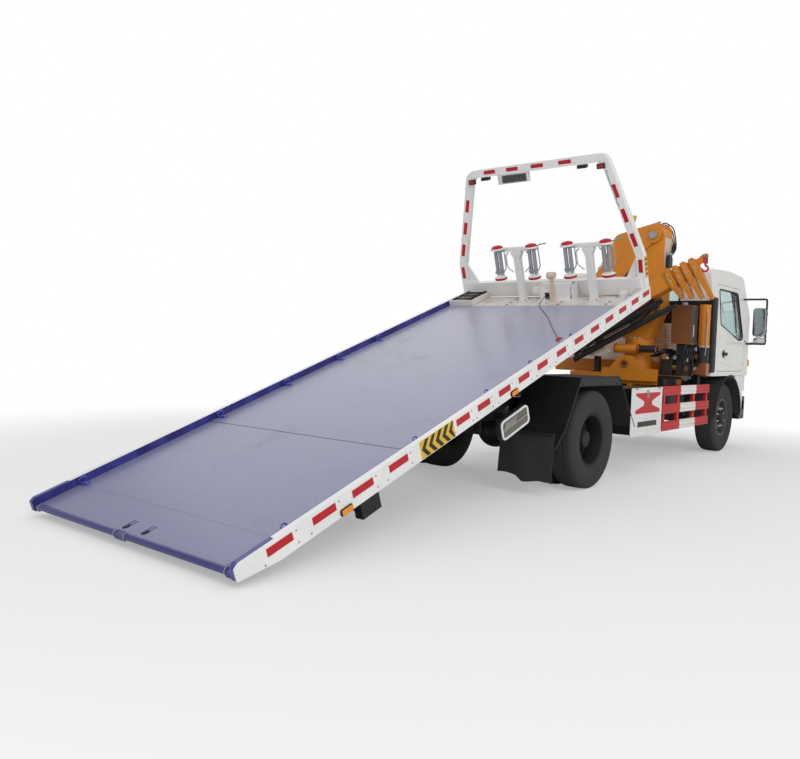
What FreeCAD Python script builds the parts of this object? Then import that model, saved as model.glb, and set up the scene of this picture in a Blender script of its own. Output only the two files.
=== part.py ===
"""Flatbed tow truck with a sliding, tilting bed and a folding crane behind the cab.

Millimetres. +X points forward, +Y to the driver's left, +Z up; the ground is z = 0.
Lengths along the truck are written from the rear axle, and moved to the row's origin on export.
Bed pieces are drawn in the bed's own frame: s from the tail, y across, n up from the rail tops.
"""
import FreeCAD, Part
import math
import os

V = FreeCAD.Vector

# ---- wheels and frame
WHEELBASE = 4589.0
TYRE_R = 516.0
TYRE_W = 275.0
RIM_R = 275.0
FRONT_TRACK_Y = 985.0
FRONT_FENDER_R = 628.0
FRONT_FENDER_T = 14.0
KINGPIN_Y = 800.0
REAR_OUTER_Y = 1062.0
REAR_INNER_Y = 742.0
RAIL_OUT_Y = 430.0
RAIL_IN_Y = 350.0
RAIL_TOP = 920.0
RAIL_H = 230.0
RAIL_T = 10.0
RAIL_REAR_X = -1290.0
RAIL_FRONT_X = WHEELBASE + 971.0
TOW_LUG_T = 26.0
TOW_LUG_Y = 570.0
TOW_LUG_Z = 660.0
TOW_HOLE_R = 25.0
FIT = 0.3
PIN_GAP = 0.05

# ---- bed
TILT_DEG = 19.4
PIVOT_X = -1200.0
PIVOT_Z = 900.0
PIVOT_S = 3567.0
PIVOT_DROP = 450.0
PIVOT_PIN_R = 30.0
BED_L = 6227.0
BED_HALF_W = 1257.0
BED_RAIL_H = 150.0
BED_RAIL_W = 52.0
TAIL_NOSE_N = -28.0
DECK_DROP = 66.0
DECK_T = 10.0
CHEQUER_T = 3.0
CHEQUER_S1 = BED_L - 577.0
CHEQUER_HALF = 1100.0
SEAM_S = 1740.0
SEAM_W = 4.0
DECK_S0 = 55.0
KEY_SLOT_S = 110.0
KEY_SLOTS_Y = (-170.0, 60.0)
KEY_SLOT_R = 32.0
RING_Y_IN = 52.0
RING_R = 32.0
RING_BAR_R = 6.5
RACK_S = BED_L - 347.0
RACK_POSTS_Y = (215.0, -725.0)
RACK_STATION_OUT = 235.0
WINCH_S = BED_L - 237.0
WINCH_DRUM_R = 60.0
WINCH_DRUM_UP = 95.0
ROPE_R = 5.0
BEAM_Y = 380.0
BEAM_W = 64.0
BEAM_H = 150.0
BEAM_S0 = 900.0
CROSS_W = 50.0
CROSS_H = 70.0
CROSS_PITCH = 460.0
SLIDE_GAP = 0.3
TILT_FRAME_H = 125.0
TILT_FRAME_W = 70.0
TILT_FRAME_S0 = 2620.0
TILT_FRAME_S1 = BED_L - 177.0
TILT_LUG_GAP = 8.0
TILT_LUG_T = 30.0
LIFT_TUBE_S0 = 2100.0
LIFT_TUBE_S1 = 3330.0
LIFT_TUBE_HALF = 95.0
LIFT_ARM_HALF = 62.0
LIFT_LOW = -540.0
LIFT_HIGH = -470.0
LAMP_PLATE_Y = 1120.0
HEAD_S = BED_L - 67.0
HEAD_DEPTH = 80.0
HEAD_TUBE = 92.0
HEAD_H = 1545.0
HEAD_TOP_HALF = 870.0
KNEE_N = 380.0
HEAD_CORNER_R = 150.0

# ---- cab
CAB_REAR_X = WHEELBASE - 929.0
CAB_FRONT_X = WHEELBASE + 1191.0
CAB_HALF_W = 1200.0
CAB_BOTTOM = 1150.0
CAB_NOSE_BOTTOM = 900.0
CAB_ROOF = 2700.0
CAB_WALL = 42.0
CAB_CORNER_R = 430.0
CAB_LEAN = 80.0
LEAN_IN = 10.0
LEAN_Z = 1700.0
CAB_PIVOT_X = WHEELBASE + 1091.0
CAB_PIVOT_Z = 930.0
CAB_PIVOT_R = 18.0
CAB_FLOOR_T = CAB_WALL
ARCH_R = 650.0
DOOR_REAR_X = WHEELBASE - 659.0
DOOR_FRONT_X = WHEELBASE + 591.0
DOOR_GAP = 6.0
HINGE_X = WHEELBASE + 581.0
HINGE_Y = 1209.0
HINGE_R = 9.0
HINGE_PIN_R = 5.0
HINGE_H = 45.0
HINGE_Z = (1340.0, 1620.0)
DOOR_BOTTOM = 1215.0
DOOR_TOP = 2470.0
GRILLE_HALF_W = 620.0
GRILLE_SLOT_H = 26.0
GRILLE_SLOTS_Z = (960.0, 1010.0, 1060.0, 1110.0)
BUMPER_TOP = 805.0
BUMPER_BOTTOM = 460.0
BUMPER_STEP = 45.0
GLASS_T = 6.0

# ---- crane
SLEW_X = WHEELBASE - 1569.0
SLEW_Y = -400.0
COLUMN_X0 = SLEW_X - 150.0
COLUMN_X1 = SLEW_X + 150.0
COLUMN_Y0 = -740.0
COLUMN_Y1 = -470.0
PEDESTAL_R = 190.0
SLEW_CYL_Z = 1497.0
PEDESTAL_TOP = 1570.0
LUFF_Y = -600.0
LUFF_Z = 3050.0
ELBOW_Y = 700.0
ELBOW_Z = 1530.0
CRANE_PLATE = 25.0
BOOM_X = SLEW_X - 330.0
BOOM_W = 240.0
BOOM_DEPTH = 205.0
BOOM_WALL = 8.0
BOOM_SLOPE = 28.5
BOOM_L = 1900.0
SECTION_COUNT = 3
FINGER_DROP = 180.0
CRANE_PIN_R = 35.0
HOOK_OUT = 150.0
HOOK_UP = 60.0
HOOK_PIN_R = 14.0

# ---- outriggers
OUTRIGGER_X = SLEW_X + 325.0
OUTRIGGER_BEAM = 130.0
OUTRIGGER_Z = 1240.0
LEG_Y = 1180.0
LEG_R = 72.0
LEG_BOTTOM = 1168.0
LEG_TOP = 2120.0
LEG_WALL = 12.0
FOOT_Z = 1145.0
FOOT_R = 62.0

# ---- small shared sizes
GUARD_Y = 1200.0
GUARD_TOP = 1035.0
GUARD_BOTTOM = 475.0
GUARD_REAR_X = 924.0
BOX_FRONT_X = 1857.0
GUARD_FRONT_X = WHEELBASE - 966.0
FENDER_TOP = 1170.0
FENDER_IN_Y = 580.0


# ---------------------------------------------------------------- drawing helpers
def box(x0, x1, y0, y1, z0, z1):
    return Part.makeBox(x1 - x0, y1 - y0, z1 - z0, V(x0, y0, z0))


def rod(start, end, radius):
    axis = V(*end) - V(*start)
    return Part.makeCylinder(radius, axis.Length, V(*start), axis)


def pipe(start, end, outer, inner):
    return rod(start, end, outer).cut(rod(start, end, inner))


def face(corners, place):
    """Flat face through corners (u, v, radius); each corner is turned by a tangent arc."""
    turns = []
    for index, (u, v, radius) in enumerate(corners):
        here = V(u, v, 0)
        back = (V(*corners[index - 1][:2], 0) - here).normalize()
        ahead = (V(*corners[(index + 1) % len(corners)][:2], 0) - here).normalize()
        if radius == 0:
            turns.append((here, None, here))
            continue
        half = back.getAngle(ahead) / 2
        reach = radius / math.tan(half)
        middle = (back + ahead).normalize() * (radius / math.sin(half) - radius)
        turns.append((here + back * reach, here + middle, here + ahead * reach))
    edges = []
    for index, (start, middle, end) in enumerate(turns):
        if middle is not None:
            edges.append(Part.Arc(place(start), place(middle), place(end)).toShape())
        following = turns[(index + 1) % len(turns)][0]
        if end.distanceToPoint(following) > 1e-6:
            edges.append(Part.LineSegment(place(end), place(following)).toShape())
    return Part.Face(Part.Wire(edges))


def side_plate(corners, y0, y1):
    """Plate whose outline is (x, z, radius), from y0 to y1."""
    return face(corners, lambda p: V(p.x, y0, p.y)).extrude(V(0, y1 - y0, 0))


def cross_plate(corners, x0, x1):
    """Plate whose outline is (y, z, radius), from x0 to x1."""
    return face(corners, lambda p: V(x0, p.x, p.y)).extrude(V(x1 - x0, 0, 0))


def plan_plate(corners, z0, z1):
    """Plate whose outline is (x, y, radius), from z0 to z1."""
    return face(corners, lambda p: V(p.x, p.y, z0)).extrude(V(0, 0, z1 - z0))


def fuse(shapes):
    whole = shapes[0].fuse(shapes[1:]) if len(shapes) > 1 else shapes[0]
    return whole.removeSplitter()


def mirrored(shape):
    return shape.mirror(V(0, 0, 0), V(0, 1, 0))


def both_sides(shapes):
    return list(shapes) + [mirrored(shape) for shape in shapes]


def on_side(shapes, side):
    return list(shapes) if side > 0 else [mirrored(shape) for shape in shapes]


def on_bed(shapes):
    """Bring shapes from the bed's frame to the truck, tail down."""
    placed = []
    for shape in shapes:
        copy = shape.copy()
        copy.translate(V(-PIVOT_S, 0, PIVOT_DROP))
        copy.rotate(V(0, 0, 0), V(0, 1, 0), -TILT_DEG)
        copy.translate(V(PIVOT_X, 0, PIVOT_Z))
        placed.append(copy)
    return placed


def bed_point(s, n):
    tilt = math.radians(TILT_DEG)
    along = s - PIVOT_S
    up = n + PIVOT_DROP
    x = PIVOT_X + along * math.cos(tilt) - up * math.sin(tilt)
    z = PIVOT_Z + along * math.sin(tilt) + up * math.cos(tilt)
    return x, z


TAIL_X = bed_point(0, TAIL_NOSE_N)[0]
BUMPER_FRONT_X = CAB_FRONT_X + BUMPER_STEP
ORIGIN_X = (TAIL_X + BUMPER_FRONT_X) / 2


def export(name, solids):
    shape = Part.makeCompound([part for solid in solids for part in solid.Solids])
    shape.translate(V(-ORIGIN_X, 0, 0))
    bounds = shape.BoundBox
    print(name, len(shape.Solids), shape.isValid(), round(shape.Volume / 1e9, 5),
          [round(v) for v in (bounds.XMin, bounds.XMax, bounds.YMin, bounds.YMax, bounds.ZMin, bounds.ZMax)])
    shape.exportStep("parts/" + name + ".step")


# ---------------------------------------------------------------- chassis
def frame_rails():
    channel = box(RAIL_REAR_X, RAIL_FRONT_X, RAIL_IN_Y, RAIL_OUT_Y, RAIL_TOP - RAIL_H, RAIL_TOP)
    hollow = box(RAIL_REAR_X - 1, RAIL_FRONT_X + 1, RAIL_IN_Y - 1, RAIL_OUT_Y - RAIL_T,
                 RAIL_TOP - RAIL_H + RAIL_T, RAIL_TOP - RAIL_T)
    rails = both_sides([channel.cut(hollow)])
    members = []
    web_y = RAIL_OUT_Y - RAIL_T
    for x in (-1200, -700, 700, 1700, 2500, WHEELBASE - 1409, WHEELBASE + 891):
        members.append(box(x - 45, x + 45, -web_y, web_y, RAIL_TOP - 130, RAIL_TOP - 40))
    pin = rod((PIVOT_X, -RAIL_OUT_Y - 60, PIVOT_Z), (PIVOT_X, RAIL_OUT_Y + 60, PIVOT_Z), PIVOT_PIN_R)
    top_cut = side_plate([(RAIL_REAR_X - 5, RAIL_TOP - 75, 0), (RAIL_REAR_X + 190, RAIL_TOP + 5, 0),
                          (RAIL_REAR_X - 5, RAIL_TOP + 5, 0)], -RAIL_OUT_Y - 5, RAIL_OUT_Y + 5)
    body = fuse(rails + members).cut(top_cut)
    lug = box(RAIL_REAR_X, RAIL_REAR_X + TOW_LUG_T, RAIL_OUT_Y - RAIL_T, TOW_LUG_Y + 60,
              TOW_LUG_Z - 60, TOW_LUG_Z + 60)
    hole = rod((RAIL_REAR_X - 1, TOW_LUG_Y, TOW_LUG_Z), (RAIL_REAR_X + TOW_LUG_T + 1, TOW_LUG_Y, TOW_LUG_Z),
               TOW_HOLE_R)
    lugs = both_sides([lug.cut(hole)])
    post_rear_x = RAIL_FRONT_X - 60
    post = side_plate([(post_rear_x, RAIL_TOP - 100, 0), (CAB_PIVOT_X - 45, RAIL_TOP - 100, 0),
                       (CAB_PIVOT_X + 20, CAB_PIVOT_Z - 45, 0), (CAB_PIVOT_X + 25, CAB_PIVOT_Z + 25, 0),
                       (post_rear_x, CAB_PIVOT_Z + 25, 0)], RAIL_IN_Y + 5, RAIL_OUT_Y - 15)
    cab_posts = both_sides([post])
    cab_pins = both_sides([rod((CAB_PIVOT_X, RAIL_IN_Y + 5, CAB_PIVOT_Z), (CAB_PIVOT_X, 470, CAB_PIVOT_Z),
                               CAB_PIVOT_R)])
    return [fuse([body, pin] + lugs + cab_posts + cab_pins)]


def engine_block():
    block = box(WHEELBASE - 639, WHEELBASE + 361, -300, 300, 620, 1060)
    gearbox = box(WHEELBASE - 1289, WHEELBASE - 639, -190, 190, 640, 900)
    mounts = []
    for x in (WHEELBASE - 509, WHEELBASE + 211):
        mounts.append(box(x, x + 90, -web_inner(), web_inner(), 740, 820))
    return [fuse([block, gearbox] + mounts)]


def web_inner():
    return RAIL_OUT_Y - RAIL_T


def front_axle():
    beam = box(WHEELBASE - 50, WHEELBASE + 50, -560, 560, 400, 500)
    ends = both_sides([side_plate([(WHEELBASE - 45, 400, 0), (WHEELBASE + 45, 400, 0),
                                   (WHEELBASE + 45, 590, 0), (WHEELBASE - 45, 590, 0)], 560, 735)])
    eyes = both_sides([rod((WHEELBASE, KINGPIN_Y, 440), (WHEELBASE, KINGPIN_Y, 590), 48)])
    necks = both_sides([box(WHEELBASE - 40, WHEELBASE + 40, 735, KINGPIN_Y, 440, 590)])
    pins = both_sides([rod((WHEELBASE, KINGPIN_Y, 385), (WHEELBASE, KINGPIN_Y, 645), 22)])
    return [fuse([beam] + ends + necks + eyes + pins)]


def rear_axle():
    tube = rod((0, -REAR_OUTER_Y + 60, TYRE_R), (0, REAR_OUTER_Y - 60, TYRE_R), 62)
    bowl = Part.makeSphere(205, V(0, 0, TYRE_R))
    nose = rod((150, 0, TYRE_R + 20), (420, 0, TYRE_R + 20), 75)
    shaft = rod((420, 0, TYRE_R + 20), (WHEELBASE - 1304, 0, 700), 45)
    return [fuse([tube, bowl, nose, shaft])]


def leaf_springs():
    packs = []
    y = RAIL_OUT_Y + 50
    for x, axle_top, half in ((0, TYRE_R + 62, 700), (WHEELBASE, 500, 680)):
        leaves = []
        for index in range(5):
            length = half * (1 - 0.16 * index)
            base = axle_top + FIT + 14 * (4 - index)
            leaves.append(box(x - length, x + length, y - 40, y + 40, base, base + 14))
        top = axle_top + FIT + 70
        for end in (-1, 1):
            leaves.append(box(x + end * (half - 45) - 45, x + end * (half - 45) + 45, y - 40, y + 40,
                              top, RAIL_TOP - 60))
        for end in (-1, 1):
            leaves.append(box(x + end * (half - 45) - 45, x + end * (half - 45) + 45, RAIL_OUT_Y, y - 40,
                              RAIL_TOP - 190, RAIL_TOP - 60))
        packs.append(fuse(leaves))
    return both_sides(packs)


def tanks():
    fuel = box(GUARD_FRONT_X - 1173, GUARD_FRONT_X - 63, RAIL_OUT_Y + 40, 1020, 480, 900)
    fuel = fuel.makeFillet(60, [e for e in fuel.Edges if abs(e.tangentAt(0).x) > 0.9])
    straps = [box(GUARD_FRONT_X - back, GUARD_FRONT_X - back + 60, RAIL_OUT_Y, RAIL_OUT_Y + 42, 600, 860)
              for back in (973, 323)]
    air = []
    for z in (570, 740):
        tank = rod((1100, -620, z), (1750, -620, z), 85)
        neck = box(1380, 1460, -560, -RAIL_OUT_Y, z - 25, z + 25)
        air.append(fuse([tank, neck]))
    battery = box(GUARD_FRONT_X - 923, GUARD_FRONT_X - 123, -900, -RAIL_OUT_Y, 620, 880)
    return [fuse([fuel] + straps)] + air + [battery]


def strip(points, thick):
    """Closed outline (u, v, radius) of a sheet of even thickness that follows points on its outer side."""
    inner = []
    for index, (u, v, radius) in enumerate(points):
        here = V(u, v, 0)
        back = (here - V(*points[max(index - 1, 0)][:2], 0)) if index else (V(*points[1][:2], 0) - here)
        ahead = (V(*points[index + 1][:2], 0) - here) if index < len(points) - 1 else back
        normal_a = V(back.y, -back.x, 0).normalize()
        normal_b = V(ahead.y, -ahead.x, 0).normalize()
        middle = (normal_a + normal_b).normalize()
        offset = here + middle * (thick / middle.dot(normal_a))
        inner.append((offset.x, offset.y, max(radius - thick, 0)))
    return list(points) + inner[::-1]


def rear_fenders():
    outline = [(-840, 470, 0), (-640, 660, 40), (-330, FENDER_TOP, 50), (570, FENDER_TOP, 50), (1050, 590, 0)]
    shell = side_plate(strip(outline, 8), FENDER_IN_Y, GUARD_Y)
    skirt_z = FENDER_TOP - 90
    skirt = side_plate([(-385, skirt_z, 0), (-330, FENDER_TOP, 50), (570, FENDER_TOP, 50), (644, skirt_z, 0)],
                       GUARD_Y - 8, GUARD_Y)
    bracket = [box(x, x + 60, RAIL_OUT_Y, FENDER_IN_Y + 10, RAIL_TOP - 60, RAIL_TOP - 20) for x in (-300, 480)]
    posts = [box(x, x + 60, FENDER_IN_Y + 1, FENDER_IN_Y + 10, RAIL_TOP - 60, FENDER_TOP - 4)
             for x in (-300, 480)]
    return both_sides([fuse([shell, skirt] + bracket + posts)])


def mud_flaps():
    x = -840 - FIT
    flap = box(x - 10, x, FENDER_IN_Y + 10, GUARD_Y - 10, 150, 620)
    return both_sides([flap])


def front_fenders():
    """Arched guards over the front wheels, carried by a bar on the frame above each kingpin."""
    inner_y = KINGPIN_Y - 20
    ring = pipe((WHEELBASE, inner_y, TYRE_R), (WHEELBASE, GUARD_Y - 10, TYRE_R), FRONT_FENDER_R,
                FRONT_FENDER_R - FRONT_FENDER_T)
    reach = FRONT_FENDER_R + 1
    upper = box(WHEELBASE - reach, WHEELBASE + reach, inner_y - 1, GUARD_Y, TYRE_R + 30, TYRE_R + reach)
    bar = box(WHEELBASE - 30, WHEELBASE + 30, RAIL_OUT_Y, KINGPIN_Y + 10, RAIL_TOP - 60, RAIL_TOP - 20)
    post = box(WHEELBASE - 30, WHEELBASE + 30, inner_y - 10, KINGPIN_Y + 10, RAIL_TOP - 60,
               TYRE_R + FRONT_FENDER_R - FRONT_FENDER_T + 4)
    return both_sides([fuse([ring.common(upper), bar, post])])


def side_guards():
    rail_h = 110
    pieces = []
    for z in (GUARD_BOTTOM + 10, 700, GUARD_TOP - rail_h):
        pieces.append(box(BOX_FRONT_X + 20, GUARD_FRONT_X, GUARD_Y - 30, GUARD_Y, z, z + rail_h))
    for x in (BOX_FRONT_X + 90, 2620, GUARD_FRONT_X - 90):
        pieces.append(box(x, x + 60, GUARD_Y - 60, GUARD_Y - 30, GUARD_BOTTOM + 10, GUARD_TOP))
    for x in (BOX_FRONT_X + 90, 2620, GUARD_FRONT_X - 90):
        pieces.append(box(x, x + 60, RAIL_OUT_Y, GUARD_Y - 30, GUARD_TOP - 115, GUARD_TOP - 65)
                      if x != 2620 else box(x, x + 60, RAIL_OUT_Y, GUARD_Y - 30, 905, 955))
    return both_sides([fuse(pieces)])


def toolboxes():
    body = box(GUARD_REAR_X + 140, BOX_FRONT_X, 760, GUARD_Y - 25, GUARD_BOTTOM + 10, GUARD_TOP - 10)
    panel = box(GUARD_REAR_X + 130, BOX_FRONT_X, GUARD_Y - 25, GUARD_Y, GUARD_BOTTOM, GUARD_TOP)
    hangers = [box(x, x + 50, RAIL_OUT_Y, 760, 840, 900) for x in (1150, 1750)]
    return both_sides([fuse([body, panel] + hangers)])


def bumper():
    rear_x = WHEELBASE + ARCH_R + 16
    half = CAB_HALF_W - 50
    block = plan_plate([(rear_x, -half, 0), (BUMPER_FRONT_X, -half, 330), (BUMPER_FRONT_X, half, 330),
                        (rear_x, half, 0)], BUMPER_BOTTOM, BUMPER_TOP)
    hollow = box(rear_x - 1, WHEELBASE + 1111, -760, 760, BUMPER_BOTTOM - 1, BUMPER_TOP + 1)
    recess = both_sides([box(WHEELBASE + 1051, BUMPER_FRONT_X + 1, 640, 930, 560, 720)])
    steps = both_sides([box(rear_x + 50, WHEELBASE + 931, 1010, half + 1, 600, 740)])
    ties = both_sides([box(WHEELBASE + 891, WHEELBASE + 1113, RAIL_IN_Y, RAIL_OUT_Y - RAIL_T,
                           RAIL_TOP - 200, RAIL_TOP - 135)])
    return [fuse([block.cut([hollow] + recess + steps)] + ties)]


def headlamps():
    return both_sides([box(WHEELBASE + 1051 + FIT, BUMPER_FRONT_X - 55, 640 + FIT, 930 - FIT,
                           560 + FIT, 720 - FIT)])


# ---------------------------------------------------------------- wheels
def tyre(y, radius=TYRE_R):
    half = TYRE_W / 2
    profile = [(RIM_R + 1, y - half + 25, 0), (radius - 70, y - half, 30), (radius, y - half + 30, 22),
               (radius, y + half - 30, 22), (radius - 70, y + half, 30), (RIM_R + 1, y + half - 25, 0)]
    section = face(profile, lambda p: V(p.x, p.y, 0))
    return section.revolve(V(0, 0, 0), V(0, 1, 0), 360)


def rim(y, dish, half=TYRE_W / 2 - 25):
    """Steel rim at y, with its disc at dish."""
    barrel = pipe((0, y - half, 0), (0, y + half, 0), RIM_R, RIM_R - 16)
    disc = rod((0, dish - 8, 0), (0, dish + 8, 0), RIM_R - 10)
    holes = []
    for index in range(8):
        angle = math.radians(45 * index)
        holes.append(rod((195 * math.cos(angle), dish - 20, 195 * math.sin(angle)),
                         (195 * math.cos(angle), dish + 20, 195 * math.sin(angle)), 30))
    return fuse([barrel, disc]).cut(holes)


def placed_wheel(shapes, x, side):
    ready = []
    for shape in on_side(shapes, side):
        copy = shape.copy()
        copy.translate(V(x, 0, TYRE_R))
        ready.append(copy)
    return ready


def front_rim():
    disc_y = FRONT_TRACK_Y + 55
    hub = rod((0, FRONT_TRACK_Y - 75, 0), (0, disc_y + 75, 0), 100)
    nuts = []
    for index in range(8):
        angle = math.radians(45 * index + 22.5)
        nuts.append(rod((140 * math.cos(angle), disc_y, 140 * math.sin(angle)),
                        (140 * math.cos(angle), disc_y + 40, 140 * math.sin(angle)), 17))
    bore = rod((0, FRONT_TRACK_Y - 76, 0), (0, FRONT_TRACK_Y + 40, 0), 40 + PIN_GAP)
    return [fuse([rim(FRONT_TRACK_Y, disc_y), hub] + nuts).cut(bore)]


def rear_rims():
    outer_dish = REAR_OUTER_Y - 90
    inner_dish = REAR_INNER_Y + 90
    hub = rod((0, 650, 0), (0, REAR_OUTER_Y + 60, 0), 105)
    bore = rod((0, 639, 0), (0, REAR_OUTER_Y - 59, 0), 62 + PIN_GAP)
    drum = rod((0, 640, 0), (0, 700, 0), 200)
    nuts = []
    for index in range(8):
        angle = math.radians(45 * index + 22.5)
        nuts.append(rod((140 * math.cos(angle), inner_dish, 140 * math.sin(angle)),
                        (140 * math.cos(angle), outer_dish + 40, 140 * math.sin(angle)), 17))
    return [fuse([rim(REAR_OUTER_Y, outer_dish), rim(REAR_INNER_Y, inner_dish), hub, drum] + nuts).cut(bore)]


def knuckle(side):
    gap = 3.0
    upper = rod((WHEELBASE, KINGPIN_Y, 590 + gap), (WHEELBASE, KINGPIN_Y, 645), 45)
    lower = rod((WHEELBASE, KINGPIN_Y, 385), (WHEELBASE, KINGPIN_Y, 440 - gap), 45)
    back = box(WHEELBASE - 45, WHEELBASE + 45, KINGPIN_Y + 54, KINGPIN_Y + 80, 385, 645)
    arms = [box(WHEELBASE - 40, WHEELBASE + 40, KINGPIN_Y, KINGPIN_Y + 60, 590 + gap, 645),
            box(WHEELBASE - 40, WHEELBASE + 40, KINGPIN_Y, KINGPIN_Y + 60, 385, 440 - gap)]
    stub = rod((WHEELBASE, KINGPIN_Y + 60, TYRE_R), (WHEELBASE, FRONT_TRACK_Y + 35, TYRE_R), 40)
    bore = rod((WHEELBASE, KINGPIN_Y, 380), (WHEELBASE, KINGPIN_Y, 650), 22 + PIN_GAP)
    return on_side([fuse([upper, lower, back, stub] + arms).cut(bore)], side)


# ---------------------------------------------------------------- cab
def cab_profile(inset):
    """Side outline of the cab, drawn inside itself by inset."""
    return [(CAB_REAR_X + inset, CAB_BOTTOM + inset, 0), (CAB_REAR_X + inset, CAB_ROOF - 40 - inset, 70),
            (WHEELBASE - 89, CAB_ROOF - inset, 400),
            (WHEELBASE + 641 - inset * 0.5, CAB_ROOF - 30 - inset, 130),
            (WHEELBASE + 1051 - inset, 1720, 150), (CAB_FRONT_X - inset, 1500, 300),
            (CAB_FRONT_X - inset, CAB_BOTTOM + inset, 0)]


def cab_block(inset):
    side = side_plate(cab_profile(inset), -CAB_HALF_W - 50, CAB_HALF_W + 50)
    half = CAB_HALF_W - inset
    corner = CAB_CORNER_R - inset
    plan = plan_plate([(CAB_REAR_X + inset, -half, 60), (CAB_FRONT_X - inset, -half, corner),
                       (CAB_FRONT_X - inset, half, corner), (CAB_REAR_X + inset, half, 60)],
                      CAB_BOTTOM - 10, CAB_ROOF + 10)
    lean = cross_plate([(-half - LEAN_IN, CAB_BOTTOM - 20, 0), (-half - LEAN_IN, LEAN_Z, 0),
                        (-half + CAB_LEAN, CAB_ROOF + 15, 0), (half - CAB_LEAN, CAB_ROOF + 15, 0),
                        (half + LEAN_IN, LEAN_Z, 0), (half + LEAN_IN, CAB_BOTTOM - 20, 0)],
                       CAB_REAR_X - 20, CAB_FRONT_X + 20)
    return side.common(plan).common(lean)


def nose_block(inset):
    half = CAB_HALF_W - 30 - inset
    corner = CAB_CORNER_R - inset
    return plan_plate([(WHEELBASE + 656 + inset, -half, 0), (CAB_FRONT_X - inset, -half, corner),
                       (CAB_FRONT_X - inset, half, corner), (WHEELBASE + 656 + inset, half, 0)],
                      CAB_NOSE_BOTTOM, CAB_BOTTOM + 20)


def door_outline(grow):
    return [(DOOR_REAR_X - grow, DOOR_BOTTOM - grow, 40), (DOOR_REAR_X - grow, DOOR_TOP + grow, 80),
            (WHEELBASE + 471 + grow, DOOR_TOP + grow, 80), (DOOR_FRONT_X + grow, 1720, 60),
            (DOOR_FRONT_X + grow, DOOR_BOTTOM - grow, 40)]


def side_window():
    return [(WHEELBASE - 579, 1890, 60), (WHEELBASE - 579, 2400, 60), (WHEELBASE + 301, 2400, 70),
            (WHEELBASE + 491, 1700, 60), (WHEELBASE + 271, 1690, 40)]


SCREEN = [(-1010, 1760, 90), (-900, 2560, 90), (900, 2560, 90), (1010, 1760, 90)]


def cab_shell():
    outer = fuse([cab_block(0), nose_block(0)])
    inner = cab_block(CAB_WALL)
    shell = outer.cut([inner])
    nose_room = box(WHEELBASE + 656 - 10, CAB_FRONT_X - CAB_WALL, -CAB_HALF_W + 130, CAB_HALF_W - 130,
                    CAB_NOSE_BOTTOM - 1, CAB_BOTTOM - 1)
    door_holes = both_sides([side_plate(door_outline(0), 900, CAB_HALF_W + 20)])
    screen = cross_plate(SCREEN, DOOR_FRONT_X, WHEELBASE + 1311)
    back = cross_plate([(-700, 1900, 80), (-700, 2380, 80), (700, 2380, 80), (700, 1900, 80)],
                       CAB_REAR_X - 20, CAB_REAR_X + 100)
    arches = both_sides([rod((WHEELBASE, 640, TYRE_R), (WHEELBASE, CAB_HALF_W + 20, TYRE_R), ARCH_R)])
    grille = [box(CAB_FRONT_X - CAB_WALL - 1, CAB_FRONT_X + 1, -GRILLE_HALF_W, GRILLE_HALF_W,
                  z, z + GRILLE_SLOT_H)
              for z in GRILLE_SLOTS_Z]
    body = shell.cut([nose_room, screen, back] + door_holes + arches + grille)
    lugs = both_sides([box(CAB_PIVOT_X - 30, CAB_FRONT_X - CAB_WALL + 10, 425, 465,
                           CAB_PIVOT_Z - 25, CAB_PIVOT_Z + 40)])
    bore = rod((CAB_PIVOT_X, -500, CAB_PIVOT_Z), (CAB_PIVOT_X, 500, CAB_PIVOT_Z), CAB_PIVOT_R + PIN_GAP)
    return [fuse([body] + lugs + cab_hinges()).cut(bore)]


def cab_glass():
    band = cab_block(16).cut(cab_block(16 + GLASS_T))
    screen = cross_plate(SCREEN, DOOR_FRONT_X, WHEELBASE + 1311)
    back = cross_plate([(-700, 1900, 80), (-700, 2380, 80), (700, 2380, 80), (700, 1900, 80)],
                       CAB_REAR_X - 20, CAB_REAR_X + 100)
    return [band.common(screen), band.common(back)]


def door(side):
    slab = side_plate(door_outline(-DOOR_GAP), 900, CAB_HALF_W + 20)
    leaf = cab_block(0).cut(cab_block(CAB_WALL)).common(slab)
    leaf = leaf.cut(side_plate(side_window(), 900, CAB_HALF_W + 20))
    handle = box(WHEELBASE - 459, WHEELBASE - 299, CAB_HALF_W - 4, CAB_HALF_W + 26, 1450, 1490)
    hinges = []
    for z in HINGE_Z:
        barrel = rod((HINGE_X, HINGE_Y, z + FIT), (HINGE_X, HINGE_Y, z + HINGE_H), HINGE_R)
        strap = box(HINGE_X - 45, HINGE_X, CAB_HALF_W - 2, HINGE_Y + 6, z + FIT, z + HINGE_H)
        bore = rod((HINGE_X, HINGE_Y, z - 10), (HINGE_X, HINGE_Y, z + HINGE_H + 10), HINGE_PIN_R + PIN_GAP)
        hinges.append(fuse([barrel, strap]).cut(bore))
    return on_side([fuse([leaf, handle] + hinges)], side)


def cab_hinges():
    leaves = []
    for z in HINGE_Z:
        barrel = rod((HINGE_X, HINGE_Y, z - HINGE_H), (HINGE_X, HINGE_Y, z), HINGE_R)
        strap = box(HINGE_X, HINGE_X + 45, CAB_HALF_W + FIT, HINGE_Y + 6, z - HINGE_H, z)
        root = box(DOOR_FRONT_X + 5, HINGE_X + 45, CAB_HALF_W - 3, HINGE_Y + 6, z - HINGE_H, z)
        pin = rod((HINGE_X, HINGE_Y, z - HINGE_H), (HINGE_X, HINGE_Y, z + HINGE_H), HINGE_PIN_R)
        leaves += [barrel, strap, root, pin]
    return both_sides(leaves)


def door_glass(side):
    band = cab_block(16).cut(cab_block(16 + GLASS_T))
    return on_side([band.common(side_plate(side_window(), 900, CAB_HALF_W + 20))], side)


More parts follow.
